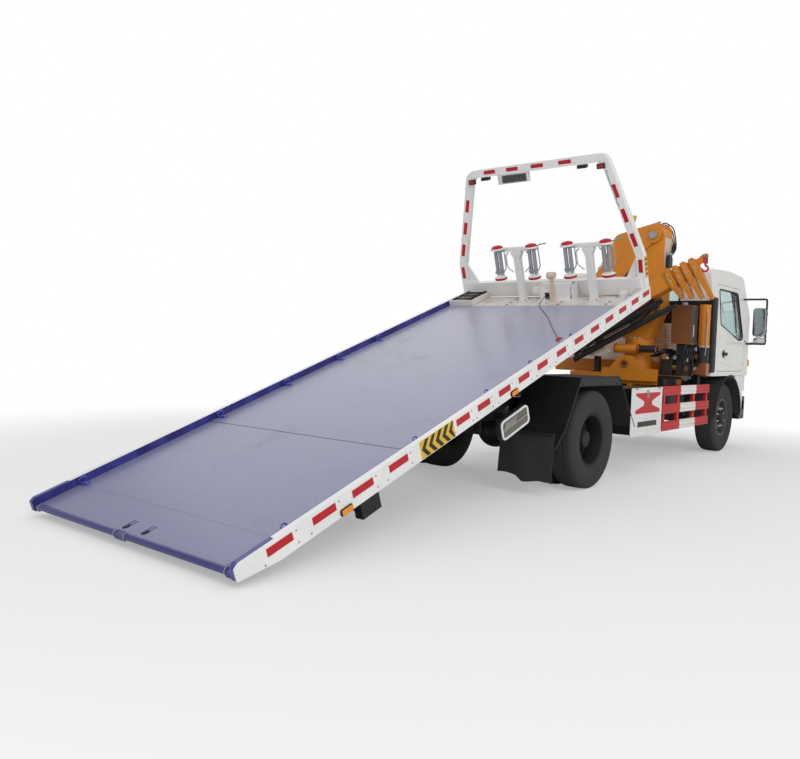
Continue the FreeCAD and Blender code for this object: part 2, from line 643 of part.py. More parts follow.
def mirrors():
    """Mirror heads on looped arms, rooted on the pillars just ahead of the doors."""
    x_root = DOOR_FRONT_X + 22
    y_out = 1490
    arms = []
    for z, y_root in ((2330, CAB_HALF_W - 76), (1645, CAB_HALF_W - 12)):
        arms.append(box(x_root - 16, x_root + 16, y_root, y_out, z - 14, z + 14))
        arms.append(box(x_root - 16, WHEELBASE + 701, y_out - 30, y_out, z - 14, z + 14))
    post = rod((WHEELBASE + 686, y_out - 14, 1631), (WHEELBASE + 686, y_out - 14, 2344), 15)
    head = box(WHEELBASE + 641, WHEELBASE + 701, 1290, 1480, 1760, 2200)
    head = head.makeFillet(24, [e for e in head.Edges if abs(e.tangentAt(0).x) > 0.9])
    lower = box(WHEELBASE + 646, WHEELBASE + 696, 1310, 1480, 1650, 1740)
    tie = box(WHEELBASE + 666, WHEELBASE + 691, 1460, 1480, 1700, 2250)
    return both_sides([fuse(arms + [post, head, lower, tie]).cut(cab_block(0))])


def cab_interior():
    floor_top = CAB_BOTTOM + CAB_FLOOR_T
    pieces = []
    for y in (-620, 0, 620):
        half = 240 if y else 190
        seat = box(WHEELBASE - 589, WHEELBASE - 89, y - half, y + half, floor_top, floor_top + 330)
        back = side_plate([(WHEELBASE - 689, floor_top + 250, 30), (WHEELBASE - 569, floor_top + 250, 0),
                           (WHEELBASE - 629, floor_top + 980, 60),
                           (WHEELBASE - 749, floor_top + 980, 40)], y - half, y + half)
        pieces.append(fuse([seat, back]))
    dash = side_plate([(WHEELBASE + 641, floor_top + 150, 0), (WHEELBASE + 591, floor_top + 420, 60),
                       (WHEELBASE + 891, floor_top + 470, 60),
                       (WHEELBASE + 971, floor_top + 150, 0)], -1040, 1040)
    column = rod((WHEELBASE + 671, 620, floor_top + 340), (WHEELBASE + 371, 620, floor_top + 560), 28)
    wheel = Part.makeTorus(215, 17, V(WHEELBASE + 361, 620, floor_top + 567), V(-300, 0, 220), 0, 360)
    spoke = rod((WHEELBASE + 361, 410, floor_top + 567), (WHEELBASE + 361, 830, floor_top + 567), 14)
    pillar = box(WHEELBASE + 711, WHEELBASE + 951, -60, 60, floor_top, floor_top + 170)
    return pieces + [fuse([dash, column, wheel, spoke, pillar])]


# ---------------------------------------------------------------- bed and its tilting frame
def bed_rails():
    side = side_plate([(0, -105, 12), (0, -20, 18), (40, 0, 30), (BED_L, 0, 0), (BED_L, -BED_RAIL_H, 20),
                       (330, -BED_RAIL_H, 60)], BED_HALF_W - BED_RAIL_W, BED_HALF_W)
    return on_bed(both_sides([side]))


def bed_deck():
    inner = BED_HALF_W - BED_RAIL_W
    top = -DECK_DROP
    plate = box(DECK_S0, BED_L - 150, -inner, inner, top - DECK_T, top)
    half = CHEQUER_HALF
    chequer = [box(DECK_S0, SEAM_S - SEAM_W / 2, -half, half, top - 1, top + CHEQUER_T),
               box(SEAM_S + SEAM_W / 2, CHEQUER_S1, -half, half, top - 1, top + CHEQUER_T)]
    slot_half = BEAM_W / 2 + FIT
    members = []
    s = 350.0
    while s < BED_L - 200:
        members.append(box(s, s + CROSS_W, -inner, inner, top - DECK_T - CROSS_H, top - DECK_T))
        s += CROSS_PITCH
    slots = both_sides([box(BEAM_S0 - FIT, BED_L - 150 + 1, BEAM_Y - slot_half, BEAM_Y + slot_half,
                            top - DECK_T - BEAM_H, top - DECK_T)])
    pans = []
    for y in KEY_SLOTS_Y:
        slots.append(rod((KEY_SLOT_S, y, top - DECK_T), (KEY_SLOT_S, y, top + CHEQUER_T + 1), KEY_SLOT_R))
        for prong in (y - 18, y + 18):
            slots.append(box(KEY_SLOT_S, KEY_SLOT_S + 85, prong - 8, prong + 8,
                             top - DECK_T, top + CHEQUER_T + 1))
        pans.append(box(KEY_SLOT_S - 50, KEY_SLOT_S + 100, y - 50, y + 50, top - DECK_T - 6, top - DECK_T))
    return on_bed([fuse([fuse([plate] + chequer + members).cut(slots)] + pans)])


RINGS_S = {-1: (480, 1840, 2840, 3590, 4400), 1: (420, 1850, 2720, 3520, 4200)}


def lashing_rings():
    """Rings that lean towards the rails, each held by a strap on a small pad."""
    deck = -DECK_DROP + FIT
    rings = []
    for side, places in RINGS_S.items():
        y = side * (BED_HALF_W - BED_RAIL_W - RING_Y_IN)
        for s in places:
            lean = V(0.12, side * 0.55, 0.29)
            ring = Part.makeTorus(RING_R, RING_BAR_R, V(s, y + side * 22, deck + 37), lean, 0, 360)
            pad = box(s - 28, s + 28, y - 36, y + 36, deck, deck + 4)
            strap = box(s - 9, s + 9, y - 26, y + 14, deck + 3, deck + 17)
            rings.append(fuse([ring, pad, strap]))
    return on_bed(rings)


def bed_beams():
    top = -DECK_DROP - DECK_T
    return on_bed(both_sides([box(BEAM_S0, BED_L - 150, BEAM_Y - BEAM_W / 2, BEAM_Y + BEAM_W / 2,
                                  top - BEAM_H, top)]))


def tail_roller():
    tubes = both_sides([rod((30, 60, -DECK_DROP - 6), (30, BED_HALF_W - BED_RAIL_W - 60, -DECK_DROP - 6), 24)])
    inner = BED_HALF_W - BED_RAIL_W
    blocks = []
    for y0, y1 in ((-inner, -inner + 60), (-60, 60), (inner - 60, inner)):
        blocks.append(box(8, 55, y0, y1, -DECK_DROP - 34, -DECK_DROP + 10))
    return on_bed([fuse(tubes + blocks)])


def headboard():
    knee_out = BED_HALF_W
    wide = HEAD_TUBE
    outer = [(-knee_out, -40, 0), (-knee_out, KNEE_N, 120), (-HEAD_TOP_HALF - 60, HEAD_H, HEAD_CORNER_R),
             (HEAD_TOP_HALF + 60, HEAD_H, HEAD_CORNER_R), (knee_out, KNEE_N, 120), (knee_out, -40, 0)]
    inner = [(-knee_out + wide, -50, 0), (-knee_out + wide, KNEE_N - 12, 90),
             (-HEAD_TOP_HALF - 60 + wide * 0.78, HEAD_H - wide, HEAD_CORNER_R - 70),
             (HEAD_TOP_HALF + 60 - wide * 0.78, HEAD_H - wide, HEAD_CORNER_R - 70),
             (knee_out - wide, KNEE_N - 12, 90), (knee_out - wide, -50, 0)]
    loop = cross_plate(outer, HEAD_S - HEAD_DEPTH / 2, HEAD_S + HEAD_DEPTH / 2)
    loop = loop.cut(cross_plate(inner, HEAD_S - HEAD_DEPTH, HEAD_S + HEAD_DEPTH))
    keep = box(HEAD_S - 100, HEAD_S + 100, -2000, 2000, FIT, 2000)
    loop = loop.common(keep)
    inside = BED_HALF_W - BED_RAIL_W - FIT
    base = box(HEAD_S - 60, HEAD_S + 60, -inside, inside, -DECK_DROP + FIT, 120)
    gussets = both_sides([cross_plate([(inside - 40, 120, 0), (inside - 190, 120, 0), (inside - 30, 400, 0)],
                                      HEAD_S - 12, HEAD_S + 12)])
    feet = both_sides([box(HEAD_S - HEAD_DEPTH / 2, HEAD_S + HEAD_DEPTH / 2, inside - 60, inside, 0.3, 140)])
    under = HEAD_H - HEAD_TUBE
    lamps = [box(HEAD_S - 34, HEAD_S + 32, 87, 498, under - 113, under + 4)]
    for y in (680, -620):
        lamps.append(box(HEAD_S - 34, HEAD_S + 18, y - 50, y + 50, under - 43, under + 4))
    return on_bed([fuse([loop, base] + gussets + feet + lamps)])


def cradle_rack():
    """Two posts, each carrying a cross arm and two upright twin-tube cradles."""
    deck = -DECK_DROP
    racks = []
    s = RACK_S
    for y in RACK_POSTS_Y:
        foot = box(s - 60, s + 60, y - 45, y + 45, deck + FIT, deck + 14)
        post = box(s - 40, s + 40, y - 42, y + 42, deck + 14, 590)
        arm = box(s - 25, s + 25, y - 250, y + 250, 560, 610)
        parts = [foot, post, arm]
        for offset in (-RACK_STATION_OUT, RACK_STATION_OUT):
            for shift in (-38, 38):
                parts.append(rod((s - 60, y + offset + shift, 270), (s - 60, y + offset + shift, 610), 26))
            parts.append(box(s - 95, s - 20, y + offset - 75, y + offset + 75, 600, 622))
            parts.append(box(s - 95, s - 20, y + offset - 75, y + offset + 75, 255, 280))
            parts.append(box(s - 45, s + 25, y + offset - 15, y + offset + 15, 400, 610))
        racks.append(fuse(parts))
    return on_bed(racks)


def winch():
    deck = -DECK_DROP + FIT
    up = deck + WINCH_DRUM_UP
    drum = rod((WINCH_S, -420, up), (WINCH_S, -20, up), WINCH_DRUM_R)
    cheeks = [box(WINCH_S - 70, WINCH_S + 70, y, y + 20, deck, deck + 170) for y in (-440, -20)]
    post = box(WINCH_S - 130, WINCH_S - 100, -225, -195, deck, 230)
    head = rod((WINCH_S - 115, -230, 245), (WINCH_S - 115, -190, 245), 38)
    base = box(WINCH_S - 150, WINCH_S + 70, -440, 0, deck, deck + 12)
    device = box(BED_L - 537, BED_L - 147, 905, 1185, deck, deck + 66)
    return on_bed([fuse([drum, post, head, base] + cheeks), device])


ROPE_N = -DECK_DROP + CHEQUER_T + ROPE_R + FIT
ROPE_RUN = [  # distance behind the winch, y, n from the drum to the hook
    (62.4, -120, 29), (148, -113, -2), (233, -110, -29), (322, -124, -48), (428, -188, ROPE_N),
    (550, -285, ROPE_N), (672, -383, ROPE_N), (798, -481, ROPE_N), (929, -575, ROPE_N),
    (1063, -664, ROPE_N), (1198, -753, ROPE_N), (1332, -844, ROPE_N), (1462, -940, ROPE_N),
    (1542, -1001, ROPE_N)]
ROPE_ROUTE = [(WINCH_S - back, y, n) for back, y, n in ROPE_RUN]


def rounded_path(points):
    """Straight runs joined by tangent arcs, each as large as its two shorter half runs allow."""
    pts = [V(*point) for point in points]
    edges = []
    start = pts[0]
    for before, here, after in zip(pts, pts[1:], pts[2:]):
        back = before - here
        ahead = after - here
        reach = 0.45 * min(back.Length, ahead.Length)
        half = back.getAngle(ahead) / 2
        radius = reach * math.tan(half)
        back.normalize()
        ahead.normalize()
        middle = back + ahead
        middle.normalize()
        arc_start = here + back * reach
        arc_end = here + ahead * reach
        edges.append(Part.LineSegment(start, arc_start).toShape())
        edges.append(Part.Arc(arc_start, here + middle * (radius / math.sin(half) - radius), arc_end).toShape())
        print("rope bend radius", round(radius))
        start = arc_end
    edges.append(Part.LineSegment(start, pts[-1]).toShape())
    return Part.Wire(edges)


def winch_rope():
    path = rounded_path(ROPE_ROUTE)
    first = V(*ROPE_ROUTE[0])
    ring = Part.Wire(Part.Circle(first, V(*ROPE_ROUTE[1]) - first, ROPE_R).toShape())
    rope = path.makePipeShell([ring], True, False)
    straight = path.Length * math.pi * ROPE_R ** 2
    print("rope length", round(path.Length), "volume ratio", round(rope.Volume / straight, 4))
    return on_bed([rope])


def winch_hook():
    """Hook that lies on the deck at the rope's end, its point turned to the tail."""
    s1, y1, n = ROPE_ROUTE[-1]
    along = V(s1 - ROPE_ROUTE[-2][0], y1 - ROPE_ROUTE[-2][1], 0).normalize()
    thick = 11.0
    up = n - ROPE_R + thick
    start = V(s1, y1, up) + along * FIT
    shank = Part.makeCylinder(thick, 40, start, along)
    centre = start + along * 72
    bowl = Part.makeTorus(30, thick - 1, centre, V(0, 0, 1), 0, 360)
    side = V(-along.y, along.x, 0)
    mouth = Part.makeCylinder(19, 40, centre + side * 32 - along * 8 - V(0, 0, 20), V(0, 0, 1))
    return on_bed([fuse([shank, bowl.cut(mouth)])])


def tilt_frame():
    top = -DECK_DROP - DECK_T - BEAM_H - SLIDE_GAP
    low = top - TILT_FRAME_H
    half = TILT_FRAME_W / 2
    beams = both_sides([box(TILT_FRAME_S0, TILT_FRAME_S1, BEAM_Y - half, BEAM_Y + half, low, top)])
    members = []
    for s in (TILT_FRAME_S0, 3400, 4300, 5200, TILT_FRAME_S1 - 90):
        members.append(box(s, s + 90, -BEAM_Y, BEAM_Y, low + 10, top - 10))
    lug_in = RAIL_OUT_Y + TILT_LUG_GAP
    lug_out = lug_in + TILT_LUG_T
    lug = side_plate([(PIVOT_S - 130, top, 0), (PIVOT_S - 45, -PIVOT_DROP - 50, 40),
                      (PIVOT_S + 45, -PIVOT_DROP - 50, 40), (PIVOT_S + 130, top, 0)], lug_in, lug_out)
    ledge = box(PIVOT_S - 130, PIVOT_S + 130, BEAM_Y, lug_out, top - 30, top)
    lugs = both_sides([lug, ledge])
    bore = rod((PIVOT_S, -600, -PIVOT_DROP), (PIVOT_S, 600, -PIVOT_DROP), PIVOT_PIN_R + PIN_GAP)
    lamp_arms = both_sides([box(3150, 3210, BEAM_Y, LAMP_PLATE_Y, low + 10, low + 60),
                            box(3150, 3210, LAMP_PLATE_Y - 30, LAMP_PLATE_Y, low - 100, low + 60)])
    lift = box(LIFT_TUBE_S0, LIFT_TUBE_S1, -LIFT_TUBE_HALF, LIFT_TUBE_HALF, LIFT_LOW - 20, LIFT_HIGH + 20)
    hangers = both_sides([box(s, s + 90, LIFT_ARM_HALF - 2, LIFT_TUBE_HALF, LIFT_HIGH + 10, low + 20)
                          for s in (TILT_FRAME_S0, LIFT_TUBE_S1 - 90)])
    lift = lift.cut(box(LIFT_TUBE_S0 - 20, LIFT_TUBE_S1 - 30, -LIFT_ARM_HALF, LIFT_ARM_HALF,
                        LIFT_LOW, LIFT_HIGH))
    return on_bed([fuse(beams + members + lugs + lamp_arms + [lift] + hangers).cut(bore)])


def tail_lamps():
    frame = side_plate([(2960, -535, 20), (3430, -535, 20), (3430, -350, 20), (2960, -350, 20)],
                       LAMP_PLATE_Y + FIT, 1190)
    inner = side_plate([(2985, -510, 10), (3405, -510, 10), (3405, -375, 10), (2985, -375, 10)], 1170, 1191)
    return on_bed(both_sides([frame.cut(inner)]))


def lift_crossbar():
    half = LIFT_ARM_HALF - FIT
    arm = box(1640, 2700, -half, half, LIFT_LOW + FIT, LIFT_HIGH - FIT)
    bar = box(1560, 1640, -820, 820, -570, -440)
    ends = both_sides([box(1480, 1700, 740, 820, -575, -430)])
    return on_bed([fuse([arm, bar] + ends)])


# ---------------------------------------------------------------- crane
def crane_base():
    low = RAIL_TOP + FIT
    x0, x1 = SLEW_X - 240, SLEW_X + 442
    sill = both_sides([box(x0, x1, RAIL_IN_Y, RAIL_OUT_Y, low, 1010)])
    plate = fuse([box(x0, x1, -860, 520, 1010, 1150), box(x0, SLEW_X + 120, -1100, -860, 1110, 1150)])
    rear = cross_plate([(-780, 1060, 0), (-780, 1225, 0), (-560, 1225, 0), (-430, 1400, 60), (-250, 1400, 60),
                        (-110, 1225, 0), (-20, 1225, 0), (60, 1060, 0)], SLEW_X - 300, x0)
    rear = rear.cut(rod((SLEW_X - 320, -330, 1290), (SLEW_X - 220, -330, 1290), 24))
    boss = pipe((SLEW_X - 320, -330, 1290), (SLEW_X - 298, -330, 1290), 52, 24)
    drum = rod((SLEW_X, SLEW_Y, 1150), (SLEW_X, SLEW_Y, PEDESTAL_TOP), PEDESTAL_R)
    beam_half = OUTRIGGER_BEAM / 2 + 12
    tunnel = box(OUTRIGGER_X - beam_half - 40, OUTRIGGER_X + beam_half + 40, -1000, 1000,
                 OUTRIGGER_Z - beam_half - 20, OUTRIGGER_Z + beam_half + 12)
    room_half = OUTRIGGER_BEAM / 2 + FIT
    room = box(OUTRIGGER_X - room_half, OUTRIGGER_X + room_half, -1001, 1001,
               OUTRIGGER_Z - room_half, OUTRIGGER_Z + room_half)
    body = fuse([plate, rear, boss, drum, tunnel] + sill).cut(room)
    oil = box(SLEW_X - 120, SLEW_X + 120, -1150, -885, 1585, 2100)
    shelf = box(SLEW_X - 60, SLEW_X + 60, -1060, -960, 1150, 1585)
    stem = box(SLEW_X + 380, SLEW_X + 420, -580, -540, 1310, 1470)
    canister = [box(SLEW_X + 340, SLEW_X + 470, -640, -490, 1460, 1870)]
    for z in range(1468, 1850, 80):
        canister.append(box(SLEW_X + 332, SLEW_X + 478, -648, -482, z, z + 52))
    rest = [box(SLEW_X - 55, SLEW_X + 15, 165, 235, 1145, 1650),
            box(SLEW_X - 75, SLEW_X + 35, 150, 250, 1610, 1650)]
    return [fuse([body, oil, shelf, stem] + canister + rest)]


def column():
    foot = rod((SLEW_X, SLEW_Y, PEDESTAL_TOP + FIT), (SLEW_X, SLEW_Y, 1640), PEDESTAL_R)
    knee = cross_plate([(-590, 1640, 0), (-210, 1640, 0), (COLUMN_Y1 + 20, 2050, 60), (COLUMN_Y0, 2050, 60)],
                       COLUMN_X0, COLUMN_X1)
    post = box(COLUMN_X0, COLUMN_X1, COLUMN_Y0, COLUMN_Y1, 2000, LUFF_Z)
    cap = rod((COLUMN_X0, LUFF_Y, LUFF_Z), (COLUMN_X1, LUFF_Y, LUFF_Z), (COLUMN_Y1 - COLUMN_Y0) / 2)
    pin = rod((COLUMN_X0 - 60, LUFF_Y, LUFF_Z), (COLUMN_X1 + 60, LUFF_Y, LUFF_Z), CRANE_PIN_R)
    return [fuse([foot, knee, post, cap, pin])]


def slew_cylinder():
    """Cylinder that turns the column through a rack, lying across the back of the pedestal."""
    x = SLEW_X - 254
    barrel = rod((x, SLEW_Y + 240, SLEW_CYL_Z), (x, SLEW_Y - 110, SLEW_CYL_Z), 62)
    sleeve = rod((x, SLEW_Y - 110, SLEW_CYL_Z), (x, SLEW_Y - 360, SLEW_CYL_Z), 48)
    seat = box(x, SLEW_X - 150, SLEW_Y - 60, SLEW_Y + 60, SLEW_CYL_Z - 50, SLEW_CYL_Z + 50)
    seat = seat.cut(rod((SLEW_X, SLEW_Y, 1000), (SLEW_X, SLEW_Y, 2000), PEDESTAL_R + FIT))
    return [fuse([barrel, sleeve, seat])]


def inner_boom():
    gap = 4.0
    plates = [(-735, 3075, 60), (-690, 3225, 60), (-60, 3075, 60), (250, 2470, 40), (480, 2120, 0),
              (260, 2010, 0), (-60, 2370, 60), (-270, 2570, 30), (-370, 2640, 50), (-430, 2800, 40),
              (-560, 2925, 60)]
    sides = [cross_plate(plates, COLUMN_X0 - gap - CRANE_PLATE, COLUMN_X0 - gap),
             cross_plate(plates, COLUMN_X1 + gap, COLUMN_X1 + gap + CRANE_PLATE)]
    lid = cross_plate([(-540, 3190, 0), (-60, 3075, 60), (250, 2470, 40), (480, 2120, 0), (430, 2090, 0),
                       (200, 2440, 40), (-95, 3045, 50), (-545, 3155, 0)],
                      COLUMN_X0 - gap - 1, COLUMN_X1 + gap + 1)
    lid = lid.cut(rod((COLUMN_X0 - 50, LUFF_Y, LUFF_Z), (COLUMN_X1 + 50, LUFF_Y, LUFF_Z), 150))
    beam = cross_plate([(270, 2440, 0), (ELBOW_Y + 125, ELBOW_Z + 60, 0), (ELBOW_Y + 100, ELBOW_Z - 90, 60),
                        (ELBOW_Y - 60, ELBOW_Z - 110, 60), (ELBOW_Y - 120, ELBOW_Z - 20, 0), (60, 2290, 0)],
                       COLUMN_X0 + 20, COLUMN_X1 - 20)
    beam_lid = cross_plate([(250, 2470, 0), (480, 2120, 0), (260, 2010, 0), (30, 2330, 0)],
                           COLUMN_X0 - gap - 1, COLUMN_X1 + gap + 1)
    pin = rod((BOOM_X - BOOM_W / 2 - 40, ELBOW_Y, ELBOW_Z), (COLUMN_X1 - 20, ELBOW_Y, ELBOW_Z), CRANE_PIN_R)
    bore = rod((COLUMN_X0 - 90, LUFF_Y, LUFF_Z), (COLUMN_X1 + 90, LUFF_Y, LUFF_Z), CRANE_PIN_R + PIN_GAP)
    return [fuse(sides + [lid, beam, beam_lid, pin]).cut(bore)]


def knuckle_cylinders():
    tubes = []
    for x in (COLUMN_X0 + 55, COLUMN_X1 - 55):
        tubes.append(rod((x, -310, 2650), (x, 180, 1886), 50))
        tubes.append(rod((x, 180, 1886), (x, 480, 1418), 30))
    pin = rod((COLUMN_X0 - 4 + FIT, -310, 2650), (COLUMN_X1 + 4 - FIT, -310, 2650), 28)
    return [fuse(tubes + [pin])]


def on_boom(shapes):
    """Bring shapes from the outer boom's frame (x along it from the elbow, z to its upper side)."""
    placed = []
    for shape in shapes:
        copy = shape.copy()
        copy.rotate(V(0, 0, 0), V(0, 0, 1), -90)
        copy.rotate(V(0, 0, 0), V(1, 0, 0), -BOOM_SLOPE)
        copy.translate(V(BOOM_X, ELBOW_Y, ELBOW_Z))
        placed.append(copy)
    return placed


def tube_room(x0, x1, width, depth):
    half_w = width / 2 - BOOM_WALL
    half_d = depth / 2 - BOOM_WALL
    return box(x0, x1, -half_w, half_w, -half_d, half_d)


def square_tube(x0, x1, width, depth):
    outer = box(x0, x1, -width / 2, width / 2, -depth / 2, depth / 2)
    return outer.cut(tube_room(x0 - 1, x1 + 1, width, depth))


def finger(x, width, depth, drop):
    """End collar of a section: a plate round the tube with a pointed lug hanging below."""
    plate = cross_plate([(-width / 2 - 30, depth / 2 + 30, 20), (width / 2 + 30, depth / 2 + 30, 20),
                         (width / 2 + 30, -depth / 2 - 30, 30), (45, -depth / 2 - drop, 30),
                         (-45, -depth / 2 - drop, 30), (-width / 2 - 30, -depth / 2 - 30, 30)], x, x + 40)
    return plate


def outer_boom():
    base = square_tube(-60, BOOM_L, BOOM_W, BOOM_DEPTH)
    collar = finger(BOOM_L - 40, BOOM_W, BOOM_DEPTH, FINGER_DROP)
    collar = collar.cut(tube_room(BOOM_L - 60, BOOM_L + 60, BOOM_W, BOOM_DEPTH))
    root = rod((0, -BOOM_W / 2, 0), (0, BOOM_W / 2, 0), 115)
    bore = rod((0, -BOOM_W, 0), (0, BOOM_W, 0), CRANE_PIN_R + PIN_GAP)
    return on_boom([fuse([base, collar, root]).cut(bore)])


def boom_cylinders():
    """The two cylinders that slide the boom's sections, hung under the base section on two lugs."""
    under = -BOOM_DEPTH / 2 - FIT
    tubes = []
    for drop, radius, start, end in ((80, 54, 130, 1560), (222, 36, 150, 1700)):
        tubes.append(rod((start, 0, under - drop), (end, 0, under - drop), radius))
        tubes.append(rod((end, 0, under - drop), (end + 80, 0, under - drop), radius * 0.55))
    lugs = [box(x, x + 50, -30, 30, under - 235, under) for x in (180, 1480)]
    return on_boom([fuse(tubes + lugs)])


SECTIONS = [  # nesting step, start from the elbow, reach beyond the base boom
    (1, 700.0, 110.0),
    (2, 900.0, 220.0),
    (3, 1100.0, 330.0),
]


def section_size(step):
    nest = 2 * step * (BOOM_WALL + FIT)
    return BOOM_W - nest, BOOM_DEPTH - nest


def boom_section(index):
    step, start, reach = SECTIONS[index]
    width, depth = section_size(step)
    end = BOOM_L + reach
    tube = square_tube(start, end, width, depth)
    collar = finger(end - 35, width, depth, FINGER_DROP + 75 * step)
    collar = collar.cut(tube_room(end - 60, end + 60, width, depth))
    parts = [tube, collar]
    if index == SECTION_COUNT - 1:
        parts.append(box(end - 20, end + 10, -width / 2 + 1, width / 2 - 1, -depth / 2 + 1, depth / 2 - 1))
        parts.append(side_plate([(end, -20, 10), (end, 70, 20), (end + HOOK_OUT - 20, HOOK_UP + 36, 20),
                                 (end + HOOK_OUT + 30, HOOK_UP + 20, 24),
                                 (end + HOOK_OUT + 30, HOOK_UP - 24, 24)],
                                -12, 12))
    shape = fuse(parts)
    if index == SECTION_COUNT - 1:
        eye = rod((end + HOOK_OUT, -20, HOOK_UP), (end + HOOK_OUT, 20, HOOK_UP), HOOK_PIN_R + PIN_GAP)
        shape = shape.cut(eye)
    return on_boom([shape])


def boom_point(along, up):
    """Point of the outer boom's middle plane, as (y, z)."""
    slope = math.radians(BOOM_SLOPE)
    return (ELBOW_Y - along * math.cos(slope) + up * math.sin(slope),
            ELBOW_Z + along * math.sin(slope) + up * math.cos(slope))


def hook():
    y, z = boom_point(BOOM_L + SECTIONS[-1][2] + HOOK_OUT, HOOK_UP)
    pin = rod((BOOM_X - 40, y, z), (BOOM_X + 40, y, z), HOOK_PIN_R)
    cheeks = [box(x, x + 12, y - 20, y + 20, z - 94, z + 20) for x in (BOOM_X - 32, BOOM_X + 20)]
    bridge = box(BOOM_X - 32, BOOM_X + 32, y - 20, y + 20, z - 98, z - 80)
    shank = rod((BOOM_X, y, z - 124), (BOOM_X, y, z - 98), 13)
    ring = Part.makeTorus(36, 12, V(BOOM_X, y, z - 164), V(1, 0, 0), 0, 360)
    mouth = box(BOOM_X - 30, BOOM_X + 30, y - 90, y - 14, z - 164, z - 128)
    return [fuse([pin, bridge, shank, ring.cut(mouth)] + cheeks)]


# ---------------------------------------------------------------- outriggers and what stands behind the cab
def outrigger_beam(side):
    half = OUTRIGGER_BEAM / 2
    x0 = OUTRIGGER_X - half if side > 0 else OUTRIGGER_X + 4
    arm = box(x0, x0 + half - 4, -820, LEG_Y, OUTRIGGER_Z - half, OUTRIGGER_Z + half)
    tube = rod((OUTRIGGER_X, LEG_Y, LEG_BOTTOM), (OUTRIGGER_X, LEG_Y, LEG_TOP + LEG_WALL), LEG_R)
    room = rod((OUTRIGGER_X, LEG_Y, LEG_BOTTOM - 1), (OUTRIGGER_X, LEG_Y, LEG_TOP), LEG_R - LEG_WALL)
    return on_side([fuse([arm, tube]).cut(room)], side)


def outrigger_leg(side):
    stem = rod((OUTRIGGER_X, LEG_Y, FOOT_Z), (OUTRIGGER_X, LEG_Y, LEG_TOP - 20), LEG_R - LEG_WALL - FIT)
    pad = rod((OUTRIGGER_X, LEG_Y, FOOT_Z), (OUTRIGGER_X, LEG_Y, FOOT_Z + 18), FOOT_R)
    return on_side([fuse([stem, pad])], side)


def air_intake():
    stack = box(CAB_REAR_X - 170, CAB_REAR_X - 20, -1190, -1010, 1450, 2200)
    duct = box(CAB_REAR_X - 170, CAB_REAR_X - 20, -1190, -300, 2080, 2200)
    foot = box(CAB_REAR_X - 170, CAB_REAR_X - 100, -1080, -1010, RAIL_TOP + 60, 1450)
    arm = fuse([box(CAB_REAR_X - 170, CAB_REAR_X - 100, -1010, -RAIL_IN_Y, RAIL_TOP + 60, RAIL_TOP + 120),
                box(CAB_REAR_X - 170, CAB_REAR_X - 100, -RAIL_OUT_Y, -RAIL_IN_Y,
                    RAIL_TOP + FIT, RAIL_TOP + 120)])
    return [fuse([stack, duct, foot, arm])]


PARTS = [
    ("frame_rails", frame_rails),
    ("engine_block", engine_block),
    ("front_axle", front_axle),
    ("rear_axle", rear_axle),
    ("leaf_springs", leaf_springs),
    ("chassis_tanks", tanks),
    ("rear_fenders", rear_fenders),
    ("mud_flaps", mud_flaps),
    ("front_fenders", front_fenders),
    ("side_guards", side_guards),
    ("toolboxes", toolboxes),
    ("front_bumper", bumper),
    ("headlamps", headlamps),
    ("crane_base", crane_base),
    ("air_intake", air_intake),
    ("cab_shell", cab_shell),
    ("cab_glass", cab_glass),
    ("cab_interior", cab_interior),
    ("mirrors", mirrors),
    ("tilt_frame", tilt_frame),
    ("tail_lamps", tail_lamps),
    ("lift_crossbar", lift_crossbar),
    ("bed_deck", bed_deck),
    ("bed_beams", bed_beams),
    ("bed_rails", bed_rails),
    ("headboard", headboard),
    ("cradle_rack", cradle_rack),
    ("winch", winch),
    ("winch_rope", winch_rope),
    ("winch_hook", winch_hook),
    ("lashing_rings", lashing_rings),
    ("tail_roller", tail_roller),
    ("crane_column", column),
    ("slew_cylinder", slew_cylinder),
    ("inner_boom", inner_boom),
    ("knuckle_cylinders", knuckle_cylinders),
    ("outer_boom", outer_boom),
    ("boom_cylinders", boom_cylinders),
    ("crane_hook", hook),
]


def main():
    os.makedirs("parts", exist_ok=True)
    for name, make in PARTS:
        export(name, make())
    for index in range(SECTION_COUNT):
        export("boom_section_" + str(index + 1), boom_section(index))
    for label, side in (("left", 1), ("right", -1)):
        export("knuckle_" + label, knuckle(side))
        export("front_tyre_" + label, placed_wheel([tyre(FRONT_TRACK_Y)], WHEELBASE, side))
        export("front_rim_" + label, placed_wheel(front_rim(), WHEELBASE, side))
        export("rear_tyres_" + label, placed_wheel([tyre(REAR_OUTER_Y), tyre(REAR_INNER_Y)], 0, side))
        export("rear_rims_" + label, placed_wheel(rear_rims(), 0, side))
        export("door_" + label, door(side))
        export("door_glass_" + label, door_glass(side))
        export("outrigger_beam_" + label, outrigger_beam(side))
        export("outrigger_leg_" + label, outrigger_leg(side))


main()
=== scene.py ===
"""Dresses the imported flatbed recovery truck: paint, reflectors, tyres, cab, crane and winch details.

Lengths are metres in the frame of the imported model. The tilted bed has a frame of its own: s runs up
the bed from its tail, y runs across and n stands square off the bed's rail tops.
"""

